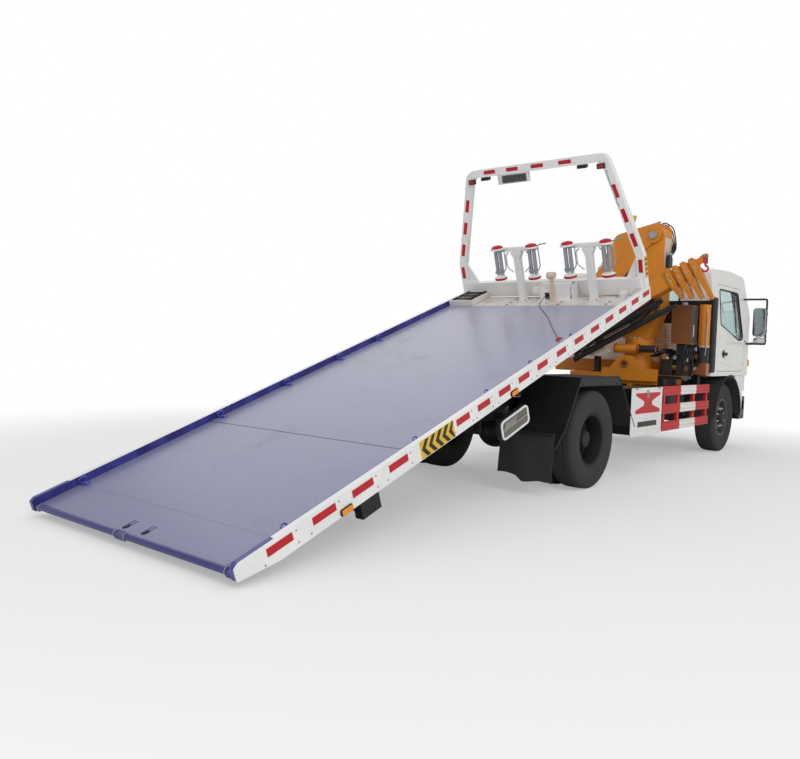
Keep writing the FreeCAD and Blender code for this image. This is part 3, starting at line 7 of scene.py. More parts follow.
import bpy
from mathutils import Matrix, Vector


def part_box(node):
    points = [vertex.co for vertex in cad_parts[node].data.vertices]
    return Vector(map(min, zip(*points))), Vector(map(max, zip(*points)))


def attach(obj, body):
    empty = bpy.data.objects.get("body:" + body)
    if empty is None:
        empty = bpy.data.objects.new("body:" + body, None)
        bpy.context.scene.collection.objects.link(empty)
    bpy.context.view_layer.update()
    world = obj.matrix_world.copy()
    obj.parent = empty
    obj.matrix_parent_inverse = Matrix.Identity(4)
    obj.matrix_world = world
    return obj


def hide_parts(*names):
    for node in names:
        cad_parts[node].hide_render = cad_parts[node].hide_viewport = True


bl_info = {
    "name": "Flatbed Recovery Truck",
    "version": (1, 0, 0),
    "blender": (4, 5, 0),
    "location": "View3D > Sidebar > Truck",
    "description": "Builds the surfaces and finishes of a flatbed recovery truck around its packed frame",
    "category": "Object",
}

from math import cos, hypot, pi, radians, sin, sqrt

import bpy
import numpy as np
from mathutils import Matrix

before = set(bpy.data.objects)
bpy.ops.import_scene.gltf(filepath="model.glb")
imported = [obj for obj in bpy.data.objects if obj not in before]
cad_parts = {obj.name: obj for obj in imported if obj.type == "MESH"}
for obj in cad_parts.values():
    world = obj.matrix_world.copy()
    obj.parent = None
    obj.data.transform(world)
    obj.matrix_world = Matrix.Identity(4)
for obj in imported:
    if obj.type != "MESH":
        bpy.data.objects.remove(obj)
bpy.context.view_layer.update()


def node_box(node):
    """Lowest and highest corner of a node of the frame, as two arrays."""
    low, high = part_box(node)
    return np.array(low), np.array(high)


# Places read from the frame
REAR_LOW, REAR_HIGH = node_box("rear_tyres_right")
FRONT_LOW, FRONT_HIGH = node_box("front_tyre_right")
REAR_AXLE_X = float(REAR_LOW[0] + REAR_HIGH[0]) / 2
FRONT_AXLE_X = float(FRONT_LOW[0] + FRONT_HIGH[0]) / 2
WHEEL_Z = float(FRONT_LOW[2] + FRONT_HIGH[2]) / 2
BED_HALF = float(node_box("bed_rails")[1][1])

# The bed's own frame
BED_TILT = radians(19.4)
BED_PIVOT = np.array([REAR_AXLE_X - 1.2, 0.0, 0.9])
PIVOT_S = 3.567
PIVOT_DROP = 0.45
DECK_N = -0.066
BED_S_AT_ZERO = float(PIVOT_S - BED_PIVOT[0] * cos(BED_TILT) - BED_PIVOT[2] * sin(BED_TILT))
RAIL_WIDTH = 0.052


# ---------------------------------------------------------------- surfaces
def circle(count):
    """Equal steps of angle round a whole turn, from nought."""
    return np.linspace(0, 2 * pi, count, endpoint=False)


def bed(points):
    """(s, y, n) to the truck's frame: slide to the pivot, turn up by the tilt, add the pivot."""
    p = np.asarray(points, float)
    along = p[..., 0] - PIVOT_S
    up = p[..., 2] + PIVOT_DROP
    x = BED_PIVOT[0] + along * cos(BED_TILT) - up * sin(BED_TILT)
    z = BED_PIVOT[2] + along * sin(BED_TILT) + up * cos(BED_TILT)
    return np.stack([x, p[..., 1], z], -1)


def shifted(shape, offset):
    """Every point plus the offset."""
    return shape[0] + np.asarray(offset, float), shape[1]


def joined(*shapes):
    """Several shapes as one: points in a row, each face's numbers raised by the points before it."""
    points, faces, count = [], [], 0
    for verts, polys in shapes:
        points.append(verts)
        faces += [np.asarray(poly) + count for poly in polys]
        count += len(verts)
    return np.concatenate(points), faces


def copies(shape, offsets):
    """One copy of the shape for each row of offsets: point + offset for all pairs at once."""
    verts, polys = shape
    offsets = np.asarray(offsets, float).reshape(-1, 3)
    points = (verts[None] + offsets[:, None]).reshape(-1, 3)
    faces = [np.asarray(poly) + len(verts) * k for k in range(len(offsets)) for poly in polys]
    return points, faces


def flipped(shape, sign=(1, 1, 1)):
    """The shape with its faces wound the other way, and its points multiplied by sign."""
    return shape[0] * np.array(sign), [np.asarray(poly)[..., ::-1] for poly in shape[1]]


def mirrored(shape):
    """The shape and its mirror image across y = 0."""
    return joined(shape, flipped(shape, (1, -1, 1)))


def on_side(shape, side):
    """Side 1 leaves the shape at +y; side -1 mirrors it to -y."""
    return shape if side > 0 else flipped(shape, (1, -1, 1))


def turned(shape, axis, degrees):
    """Turns the points p about a unit axis k through the origin: p + sin a (k x p) + (1 - cos a) k x (k x p)."""
    verts, polys = shape
    a = radians(degrees)
    once = np.cross(axis, verts)
    return verts + sin(a) * once + (1 - cos(a)) * np.cross(axis, once), polys


def grid_faces(rows, cols, wrap_rows, wrap_cols):
    """Quads between neighbours of a rows x cols grid, as a k x 4 array."""
    r = np.arange(rows if wrap_rows else rows - 1)
    c = np.arange(cols if wrap_cols else cols - 1)
    r, c = np.meshgrid(r, c, indexing="ij")
    r2, c2 = (r + 1) % rows, (c + 1) % cols
    return np.stack([r * cols + c, r2 * cols + c, r2 * cols + c2, r * cols + c2], -1).reshape(-1, 4)


def surface(points, wrap_rows=False, wrap_cols=False, caps=False):
    """A grid of points as quads; with caps, its first and last rows are closed by flat faces."""
    rows, cols = points.shape[:2]
    faces = [grid_faces(rows, cols, wrap_rows, wrap_cols)]
    if caps:
        faces.append(np.arange(cols)[None])
        faces.append((rows - 1) * cols + np.arange(cols)[::-1][None])
    return points.reshape(-1, 3), faces


def outline(corners, steps=5):
    """A closed polygon whose corners (u, v, radius) are rounded: each arc runs from one tangent point
    to the other along a quadratic curve through the corner, (1-t)^2 a + 2t(1-t) c + t^2 b."""
    pts = np.array([c[:2] for c in corners], float)
    radii = np.array([c[2] for c in corners], float)
    before, after = np.roll(pts, 1, 0) - pts, np.roll(pts, -1, 0) - pts
    before /= np.linalg.norm(before, axis=1)[:, None]
    after /= np.linalg.norm(after, axis=1)[:, None]
    half = np.arccos(np.clip((before * after).sum(1), -1, 1)) / 2
    cut = (radii / np.tan(half))[:, None]
    t = np.linspace(0, 1, steps)[:, None, None]
    arcs = (1 - t) ** 2 * (pts + before * cut) + 2 * t * (1 - t) * pts + t ** 2 * (pts + after * cut)
    ring = [arcs[:, corner] if radii[corner] > 0 else arcs[:1, corner] for corner in range(len(pts))]
    return np.concatenate(ring)


def signed_area(ring):
    """Twice a polygon's area, above nought where its corners run from u to v."""
    return (ring[:, 0] * np.roll(ring[:, 1], -1) - np.roll(ring[:, 0], -1) * ring[:, 1]).sum()


def shrunk(ring, edge):
    """A polygon moved inwards by edge: each corner goes along the mean of its two side normals."""
    ahead = np.roll(ring, -1, 0) - ring
    ahead /= np.maximum(np.linalg.norm(ahead, axis=1)[:, None], 1e-9)
    normal = np.stack([-ahead[:, 1], ahead[:, 0]], -1)
    corner = normal + np.roll(normal, 1, 0)
    corner /= np.maximum((corner * corner).sum(1)[:, None] / 2, 0.3)
    return ring + corner * edge * (1 if signed_area(ring) > 0 else -1)


def slab(ring, low, high, edge=0.0015, plane="xz"):
    """A plate with chamfered rims: the ring at four heights, drawn in by edge at the two faces.
    plane names the two axes that the ring lies in; the third runs from low to high."""
    ring = np.asarray(ring, float)
    if signed_area(ring) < 0:
        ring = ring[::-1]
    inner = shrunk(ring, edge)
    levels = ((inner, low), (ring, low + edge), (ring, high - edge), (inner, high))
    layers = [np.column_stack([r, np.full(len(r), h)]) for r, h in levels]
    order = {"xy": (0, 1, 2), "xz": (0, 2, 1), "yz": (2, 0, 1)}[plane]
    points = np.stack(layers)[..., order]
    shape = surface(points, wrap_cols=True, caps=True)
    return shape if plane == "xz" else flipped(shape)


def rectangle(u0, u1, v0, v1, radius=0.0):
    """A polygon from (u0, v0) to (u1, v1), its corners rounded by radius."""
    return outline([(u0, v0, radius), (u1, v0, radius), (u1, v1, radius), (u0, v1, radius)])


def plate(sides, low, high, edge, plane="xz", radius=0.0):
    """A rectangular slab, from its sides (u0, u1, v0, v1)."""
    return slab(rectangle(*sides, radius), low, high, edge, plane)


def block(low, high, edge=0.004, round_off=0.0):
    """A box with chamfered or rounded upright edges, from its two corners."""
    (x0, y0, z0), (x1, y1, z1) = low, high
    r = max(round_off, edge * 0.6)
    ring = outline([(x0, y0, r), (x1, y0, r), (x1, y1, r), (x0, y1, r)], 4 if round_off else 2)
    return slab(ring, z0, z1, edge, "xy")


def blocks(edge, *spans, round_off=0.0):
    """Boxes with like edges, each from its spans (x0, x1, y0, y1, z0, z1)."""
    return [block(span[::2], span[1::2], edge, round_off) for span in spans]


def lathe(profile, centre, axis="y", sides=32, closed=False):
    """A profile of (radius, along) carried round an axis: centre + along k + radius (cos a, sin a)."""
    profile = np.asarray(profile, float)
    a = circle(sides)
    r, h = profile[:, 0][:, None], profile[:, 1][:, None]
    ring = [r * np.cos(a), r * np.sin(a), h + 0 * a]
    order = {"x": (2, 0, 1), "y": (1, 2, 0), "z": (0, 1, 2)}[axis]
    points = np.stack([ring[k] for k in order], -1) + np.asarray(centre, float)
    return flipped(surface(points, wrap_rows=closed, wrap_cols=True, caps=not closed))


def disc(hole, radius, low, high, centre, axis="y", sides=32):
    """A short drum from low to high along its axis, between a hole's radius and its own."""
    return lathe([(hole, low), (radius, low), (radius, high), (hole, high)], centre, axis, sides)


def frames(path, closed=False):
    """Tangent, side and up of each point of a path: side = least used axis x tangent, up = tangent x side."""
    step = (np.roll(path, -1, 0) - np.roll(path, 1, 0)) if closed else np.gradient(path, axis=0)
    tangent = step / np.maximum(np.linalg.norm(step, axis=1)[:, None], 1e-9)
    spare = np.eye(3)[np.argmin(np.abs(tangent).max(0))]
    side = np.cross(spare, tangent)
    side /= np.maximum(np.linalg.norm(side, axis=1)[:, None], 1e-9)
    return tangent, side, np.cross(tangent, side)


def tube(path, radius, sides=12, closed=False):
    """A round bar along a path: point + radius (cos a side + sin a up). radius may change along it."""
    path = np.asarray(path, float)
    tangent, side, up = frames(path, closed)
    a = circle(sides)[None, :, None]
    r = np.broadcast_to(np.asarray(radius, float), len(path))[:, None, None]
    points = path[:, None] + r * (np.cos(a) * side[:, None] + np.sin(a) * up[:, None])
    return flipped(surface(points, wrap_rows=closed, wrap_cols=True, caps=not closed))


def rounded_path(points, radius, steps=7):
    """An open line whose inner corners are replaced by quadratic curves that start radius away."""
    pts = np.asarray(points, float)
    run = [pts[:1]]
    t = np.linspace(0, 1, steps)[:, None]
    for k in range(1, len(pts) - 1):
        back, ahead = pts[k - 1] - pts[k], pts[k + 1] - pts[k]
        r = min(radius, np.linalg.norm(back) * 0.49, np.linalg.norm(ahead) * 0.49)
        a, b = pts[k] + back / np.linalg.norm(back) * r, pts[k] + ahead / np.linalg.norm(ahead) * r
        run.append((1 - t) ** 2 * a + 2 * t * (1 - t) * pts[k] + t ** 2 * b)
    return np.concatenate(run + [pts[-1:]])


def ring_bar(centre, normal, radius, thick, sides=28):
    """A torus: a circle of the radius square to normal, carrying a round bar."""
    n = np.asarray(normal, float) / np.linalg.norm(normal)
    u = np.cross(n, np.eye(3)[np.argmin(np.abs(n))])
    u /= np.linalg.norm(u)
    a = circle(sides)[:, None]
    b = circle(10)[None, :, None]
    out = np.cos(a) * u + np.sin(a) * np.cross(n, u)
    points = np.asarray(centre) + out[:, None] * (radius + thick * np.cos(b)) + n * thick * np.sin(b)
    return surface(points, wrap_rows=True, wrap_cols=True)


def hexagon_heads(places, axis, across, height, washer=0.0):
    """Bolt heads: one short six-sided prism with a domed top, copied to every place."""
    r = across / sqrt(3)
    profile = [(r * 0.2, 0), (r, 0), (r, height * 0.8), (r * 0.8, height), (r * 0.25, height)]
    head = lathe(profile, (0, 0, 0), axis.strip("-"), 6)
    if washer:
        ring = lathe([(r * 0.5, 0), (washer, 0), (washer, height * 0.18), (r * 0.5, height * 0.2)], (0, 0, 0),
            axis.strip("-"), 14)
        head = joined(head, ring)
    if axis.startswith("-"):
        sign = {"-x": (-1, 1, 1), "-y": (1, -1, 1), "-z": (1, 1, -1)}[axis]
        head = flipped(head, sign)
    return copies(head, places)


# ---------------------------------------------------------------- pieces
SMOOTH_BELOW = radians(40)


def from_axle(shape):
    """A shape measured from the rear axle, brought to the truck's frame."""
    return shifted(shape, (REAR_AXLE_X, 0, 0))


def at_bed(shape):
    """A shape given in the bed's frame, brought to the truck's."""
    return bed(shape[0]), shape[1]


def as_it_is(shape):
    """A shape that is in the truck's frame already."""
    return shape


def piece(name, shapes, material, body, stands_for=(), both=False, at=None):
    """Puts one shape, or a list of them, into a mesh object with one material and sets it on its body.
    both adds the mirror image. Without at, shapes are read in the bed's frame where the body carries the
    bed, and from the rear axle on all others. Faces that meet below 40 degrees are shaded smooth."""
    shape = joined(*shapes) if isinstance(shapes, list) else shapes
    place = at or (at_bed if body in ("bed", "tilting_frame") else from_axle)
    verts, polys = place(mirrored(shape) if both else shape)
    mesh = bpy.data.meshes.new(name)
    mesh.from_pydata(verts.tolist(), [], [row for poly in polys for row in np.atleast_2d(poly).tolist()])
    mesh.validate()
    mesh.polygons.foreach_set("use_smooth", np.ones(len(mesh.polygons), bool))
    mesh.set_sharp_from_angle(angle=SMOOTH_BELOW)
    made = bpy.data.objects.new(name, mesh)
    bpy.context.scene.collection.objects.link(made)
    mesh.materials.append(bpy.data.materials[material])
    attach(made, body)
    if stands_for:
        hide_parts(*stands_for)
    return made


def dress(material, *nodes):
    """Gives a finish to nodes of the frame through their objects' material slots."""
    for node in nodes:
        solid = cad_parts[node]
        if not solid.material_slots:
            solid.data.materials.append(None)
        for place in solid.material_slots:
            place.link = "OBJECT"
            place.material = bpy.data.materials[material]


# ---------------------------------------------------------------- finishes
def srgb(red, green, blue):
    """A screen colour of 0-255 as linear light: ((c + 0.055) / 1.055) ^ 2.4."""
    return tuple(((c / 255 + 0.055) / 1.055) ** 2.4 for c in (red, green, blue)) + (1.0,)


def shade(colour, gain):
    """The colour times one gain, or times a gain for each of red, green and blue."""
    return tuple(float(c) for c in np.minimum(np.array(colour[:3]) * gain, 1.0)) + (1.0,)


class Finish:
    """One material's nodes. Patterns read Object coordinates, which are the truck's own metres."""

    def __init__(self, name, colour, rough=0.5, metal=0.0, **sockets):
        self.material = bpy.data.materials.new(name)
        self.material.use_nodes = True
        self.tree = self.material.node_tree
        self.shader = self.tree.nodes["Principled BSDF"]
        self.place = self.tree.nodes.new("ShaderNodeTexCoord").outputs["Object"]
        self.material.diffuse_color = colour
        self.shader.inputs["Base Color"].default_value = colour
        self.shader.inputs["Roughness"].default_value = rough
        self.shader.inputs["Metallic"].default_value = metal
        for socket, value in sockets.items():
            self.shader.inputs[socket.replace("_", " ")].default_value = value

    def node(self, kind, inputs=(), **settings):
        made = self.tree.nodes.new(kind)
        for setting, value in settings.items():
            setattr(made, setting, value)
        for socket, value in dict(inputs).items():
            if isinstance(value, bpy.types.NodeSocket):
                self.tree.links.new(value, made.inputs[socket])
            else:
                made.inputs[socket].default_value = value
        return made

    def mapped(self, scale=(1, 1, 1), turn=(0, 0, 0), shift=(0, 0, 0)):
        made = self.node("ShaderNodeMapping", {"Vector": self.place, "Scale": scale, "Rotation": turn,
            "Location": shift})
        return made.outputs["Vector"]

    def noise(self, scale, detail=4.0, rough=0.55, place=None):
        inputs = {"Vector": place or self.place, "Scale": scale, "Detail": detail, "Roughness": rough}
        return self.node("ShaderNodeTexNoise", inputs).outputs["Fac"]

    def sum(self, operation, first, second=0.0, third=0.0):
        return self.node("ShaderNodeMath", {0: first, 1: second, 2: third}, operation=operation).outputs[0]

    def spread(self, value, low, high, to_low=0.0, to_high=1.0):
        """A smooth step of the value, from to_low at low to to_high at high."""
        inputs = {"Value": value, "From Min": low, "From Max": high, "To Min": to_low, "To Max": to_high}
        return self.node("ShaderNodeMapRange", inputs, interpolation_type="SMOOTHSTEP").outputs["Result"]

    def mix(self, amount, first, second):
        made = self.node("ShaderNodeMix", {0: amount, 6: first, 7: second}, data_type="RGBA")
        return made.outputs[2]

    def parts(self, vector):
        return self.node("ShaderNodeSeparateXYZ", {"Vector": vector}).outputs

    def set(self, socket, value):
        self.tree.links.new(value, self.shader.inputs[socket])

    def bump(self, height, strength, distance):
        made = self.node("ShaderNodeBump", {"Height": height, "Strength": strength, "Distance": distance})
        if self.shader.inputs["Normal"].links:
            self.tree.links.new(self.shader.inputs["Normal"].links[0].from_socket, made.inputs["Normal"])
        self.set("Normal", made.outputs["Normal"])

    def worn(self, colour, dirt, dirt_amount, mottle=0.12, scale=3.0, rough=0.5, streaks=0.0):
        """Base colour that wanders by mottle, under dirt in patches and, with streaks, in runs down it."""
        wander = self.noise(scale, 5.0)
        base = self.mix(self.spread(wander, 0.35, 0.65), shade(colour, 1 - mottle), shade(colour, 1 + mottle * 0.5))
        patch = self.spread(self.noise(scale * 2.3, 7.0, 0.65), 0.62 - dirt_amount * 0.35, 0.95, 0.0, 0.9)
        if streaks:
            runs = self.spread(self.noise(9.0, 4.0, 0.6, self.mapped((1.0, 1.0, 0.07))), 0.55, 0.85, 0.0, streaks)
            patch = self.sum("MAXIMUM", patch, runs)
        colour_out = self.mix(patch, base, dirt)
        self.set("Base Color", colour_out)
        self.set("Roughness", self.spread(patch, 0.0, 0.8, rough, min(1.0, rough + 0.3)))
        return colour_out, patch


# name, colour, roughness, metal, dirt colour, dirt, mottle, pattern scale, grain scale, grain depth, streaks
PLAIN_FINISHES = (
    ("white_paint", (240, 240, 238), 0.32, 0.0, (176, 168, 155), 0.1, 0.03, 1.7, 60, 0.00025, 0.25),
    ("cab_paint", (242, 241, 236), 0.24, 0.0, (198, 188, 170), 0.1, 0.03, 1.1, 35, 0.00015, 0.22),
    ("front_plate_paint", (226, 222, 218), 0.42, 0.0, (168, 150, 130), 0.35, 0.06, 2.4, 45, 0.0004, 0.0),
    ("rail_blue_paint", (48, 45, 122), 0.36, 0.0, (120, 112, 130), 0.12, 0.14, 3.0, 70, 0.0003, 0.1),
    ("crane_paint", (222, 138, 30), 0.5, 0.0, (140, 80, 28), 0.16, 0.06, 2.2, 40, 0.0003, 0.22),
    # crane_shade_paint is a darker copy of crane_paint: painted shade on the slew collars and the boom's edge beads
    ("crane_shade_paint", (176, 96, 24), 0.42, 0.0, (90, 56, 30), 0.35, 0.12, 3.2, 40, 0.0004, 0.35),
    ("rusty_yellow_paint", (150, 86, 34), 0.6, 0.0, (70, 38, 22), 0.55, 0.2, 7.0, 60, 0.0008, 0.4),
    # tank_shade_paint is a darker copy of the crane's orange: painted shade on the tank's back face
    ("tank_shade_paint", (130, 76, 32), 0.55, 0.0, (64, 38, 24), 0.3, 0.1, 3.0, 50, 0.0004, 0.3),
    ("chassis_paint", (24, 24, 26), 0.55, 0.0, (66, 60, 54), 0.3, 0.2, 2.6, 50, 0.0005, 0.2),
    ("black_plastic", (22, 22, 24), 0.52, 0.0, (70, 66, 60), 0.22, 0.15, 3.1, 160, 0.0004, 0.1),
    ("cylinder_black", (34, 35, 38), 0.26, 0.0, (70, 70, 72), 0.15, 0.1, 3.5, 55, 0.0002, 0.0),
    ("rod_steel", (206, 208, 212), 0.12, 1.0, (150, 148, 144), 0.1, 0.04, 6.0, 120, 0.00005, 0.0),
    ("galvanised", (172, 176, 180), 0.38, 0.75, (126, 122, 116), 0.25, 0.12, 16.0, 90, 0.0003, 0.1),
    ("cast_iron", (48, 46, 44), 0.65, 0.35, (86, 66, 48), 0.45, 0.2, 7.0, 90, 0.0012, 0.2),
    ("wheel_steel", (92, 84, 76), 0.55, 0.45, (112, 72, 44), 0.45, 0.2, 8.0, 90, 0.0007, 0.0),
    ("dark_wheel_steel", (22, 21, 20), 0.7, 0.1, (48, 42, 36), 0.35, 0.2, 8.0, 90, 0.0007, 0.0),
    ("bright_steel", (196, 192, 186), 0.28, 0.9, (120, 96, 70), 0.28, 0.1, 20.0, 120, 0.0003, 0.0),
    ("chrome_trim", (222, 220, 218), 0.08, 1.0, (150, 140, 136), 0.12, 0.03, 12.0, 150, 0.00004, 0.0),
    ("hook_red", (176, 26, 54), 0.34, 0.0, (90, 20, 30), 0.15, 0.1, 14.0, 120, 0.0003, 0.0),
    ("canister_cream", (222, 206, 186), 0.5, 0.0, (150, 116, 84), 0.3, 0.08, 6.0, 80, 0.0004, 0.25),
    ("mark_red", (198, 24, 30), 0.5, 0.0, (150, 60, 54), 0.08, 0.05, 5.0, 120, 0.0002, 0.1),
    ("mark_white", (238, 236, 232), 0.32, 0.0, (190, 180, 168), 0.1, 0.03, 5.0, 120, 0.0002, 0.15),
    ("mark_yellow", (232, 184, 40), 0.34, 0.0, (160, 130, 60), 0.1, 0.05, 5.0, 120, 0.0002, 0.0),
    ("mark_black", (26, 26, 26), 0.42, 0.0, (70, 66, 60), 0.12, 0.1, 5.0, 120, 0.0002, 0.0),
    ("tab_yellow", (222, 190, 50), 0.4, 0.0, (170, 150, 60), 0.15, 0.06, 9.0, 120, 0.0003, 0.0),
    ("lens_amber", (240, 150, 20), 0.14, 0.0, (200, 120, 30), 0.05, 0.1, 30.0, 220, 0.0004, 0.0),
    ("lens_red", (150, 22, 24), 0.14, 0.0, (90, 20, 20), 0.05, 0.1, 30.0, 220, 0.0004, 0.0),
    ("lens_smoke", (92, 90, 88), 0.2, 0.2, (70, 66, 62), 0.2, 0.1, 12.0, 260, 0.0006, 0.0),
    ("lens_clear", (214, 214, 210), 0.12, 0.1, (150, 146, 140), 0.1, 0.05, 30.0, 220, 0.0003, 0.0),
    ("ring_blue_paint", (96, 96, 190), 0.36, 0.1, (120, 112, 130), 0.2, 0.14, 9.0, 90, 0.0003, 0.0),
    ("dash_plastic", (58, 58, 62), 0.6, 0.0, (90, 88, 84), 0.15, 0.08, 6.0, 220, 0.0005, 0.0),
    ("mirror_shell", (176, 178, 182), 0.22, 0.6, (90, 88, 86), 0.2, 0.08, 8.0, 120, 0.0003, 0.1),
    ("brass_fittings", (170, 140, 84), 0.35, 0.9, (90, 70, 44), 0.3, 0.1, 22.0, 160, 0.0003, 0.0),
)


def plain_finishes():
    """Makes each row of the table: worn paint or metal with a fine grain, and a clear coat on gloss paint."""
    for name, colour, rough, metal, dirt, amount, mottle, scale, grain, depth, streaks in PLAIN_FINISHES:
        made = Finish(name, srgb(*colour), rough, metal)
        made.worn(srgb(*colour), srgb(*dirt), amount, mottle, scale, rough, streaks)
        made.bump(made.noise(grain, 3.0), 0.6, depth)
        if (name.endswith("_paint") and not name.startswith("crane")) or name == "mark_white":
            made.shader.inputs["Coat Weight"].default_value = 0.25
            made.shader.inputs["Coat Roughness"].default_value = 0.12


def deck_finish(name, colour, pitch):
    """Chequer plate: in each square cell one lens-shaped rib leans one way, in the next the other way.
    With a and b the cell's own -0.5..0.5, c = (a + b) / 1.414 and d = (a - b) / 1.414 swap by turns, and
    the rib stands where 1 - (c / 0.52)^2 - (d / 0.17)^2 is above nought."""
    made = Finish(name, colour, 0.34, Coat_Weight=0.2, Coat_Roughness=0.2)
    flat = made.parts(made.mapped(turn=(0, BED_TILT, 0)))
    cells = [made.sum("DIVIDE", flat[0], pitch), made.sum("DIVIDE", flat[1], pitch)]
    parity = made.sum("MODULO", made.sum("ABSOLUTE", made.sum("ADD", made.sum("FLOOR", cells[0]),
        made.sum("FLOOR", cells[1]))), 2.0)
    a, b = (made.sum("SUBTRACT", made.sum("FRACT", cell), 0.5) for cell in cells)
    b = made.sum("MULTIPLY", b, made.sum("MULTIPLY_ADD", parity, 2.0, -1.0))
    c = made.sum("MULTIPLY", made.sum("ADD", a, b), 1 / (1.414 * 0.52))
    d = made.sum("MULTIPLY", made.sum("SUBTRACT", a, b), 1 / (1.414 * 0.17))
    rib = made.sum("SUBTRACT", 1.0, made.sum("MULTIPLY_ADD", c, c, made.sum("MULTIPLY", d, d)))
    rib = made.spread(rib, 0.0, 0.5)
    along = made.sum("ADD", flat[0], BED_S_AT_ZERO)
    chequered = made.sum("MULTIPLY", made.spread(along, 0.4, 0.44), made.spread(along, 5.65, 5.646))
    rib = made.sum("MULTIPLY", rib, chequered)
    dirt = srgb(150, 142, 150)
    base, patch = made.worn(colour, dirt, 0.35, 0.05, 0.9, 0.34)
    # Painted shade and light: the plate is darker and bluer at the tail and lighter towards the headboard.
    base = made.mix(made.spread(along, 0.0, 5.6), shade(colour, (0.72, 0.71, 0.82)), shade(colour, (1.21, 1.2, 1.06)))
    base = made.mix(made.sum("MULTIPLY", patch, 0.5), base, dirt)
    # Painted reflection: long soft dark bands down the plate stand for reflections of the rack posts.
    reflection_bands = made.spread(made.noise(1.3, 4.0, 0.6, made.mapped((0.3, 2.6, 1.0), (0, BED_TILT, 0))), 0.54, 0.8, 0, 0.45)
    scratch = made.spread(made.noise(3.0, 6.0, 0.7, made.mapped((0.5, 26, 1), (0, BED_TILT, 0.5))), 0.66, 0.8, 0,
        0.35)
    tinted = made.mix(reflection_bands, base, shade(colour, 0.76))
    tinted = made.mix(scratch, tinted, srgb(196, 194, 214))
    # Painted highlight: the raised ribs are painted lighter than the plate between them.
    tinted = made.mix(made.sum("MULTIPLY", rib, 0.3), tinted, shade(colour, 1.35))
    # Painted shade: a darker line across the plate along its crease near the tail.
    crease = made.spread(made.sum("ABSOLUTE", made.sum("SUBTRACT", along, 0.405)), 0.0, 0.022, 0.45, 0.0)
    tinted = made.mix(crease, tinted, shade(colour, (0.5, 0.5, 0.66)))
    seam = made.spread(made.sum("ABSOLUTE", made.sum("SUBTRACT", along, 1.74)), 0.004, 0.012, 0.75, 0.0)
    tinted = made.mix(seam, tinted, srgb(58, 54, 70))
    grime = made.spread(made.noise(5.0, 6.0, 0.65), 0.42, 0.72)
    plain = made.mix(grime, srgb(228, 224, 220), srgb(196, 180, 166))
    plain = made.mix(made.spread(along, 5.98, 6.08, 0.0, 0.8), plain, srgb(168, 140, 116))
    made.set("Base Color", made.mix(made.spread(along, 5.649, 5.653), tinted, plain))
    made.bump(rib, 0.7, 0.0022)
    made.bump(made.noise(1.1, 2.0), 0.4, 0.02)
    return made


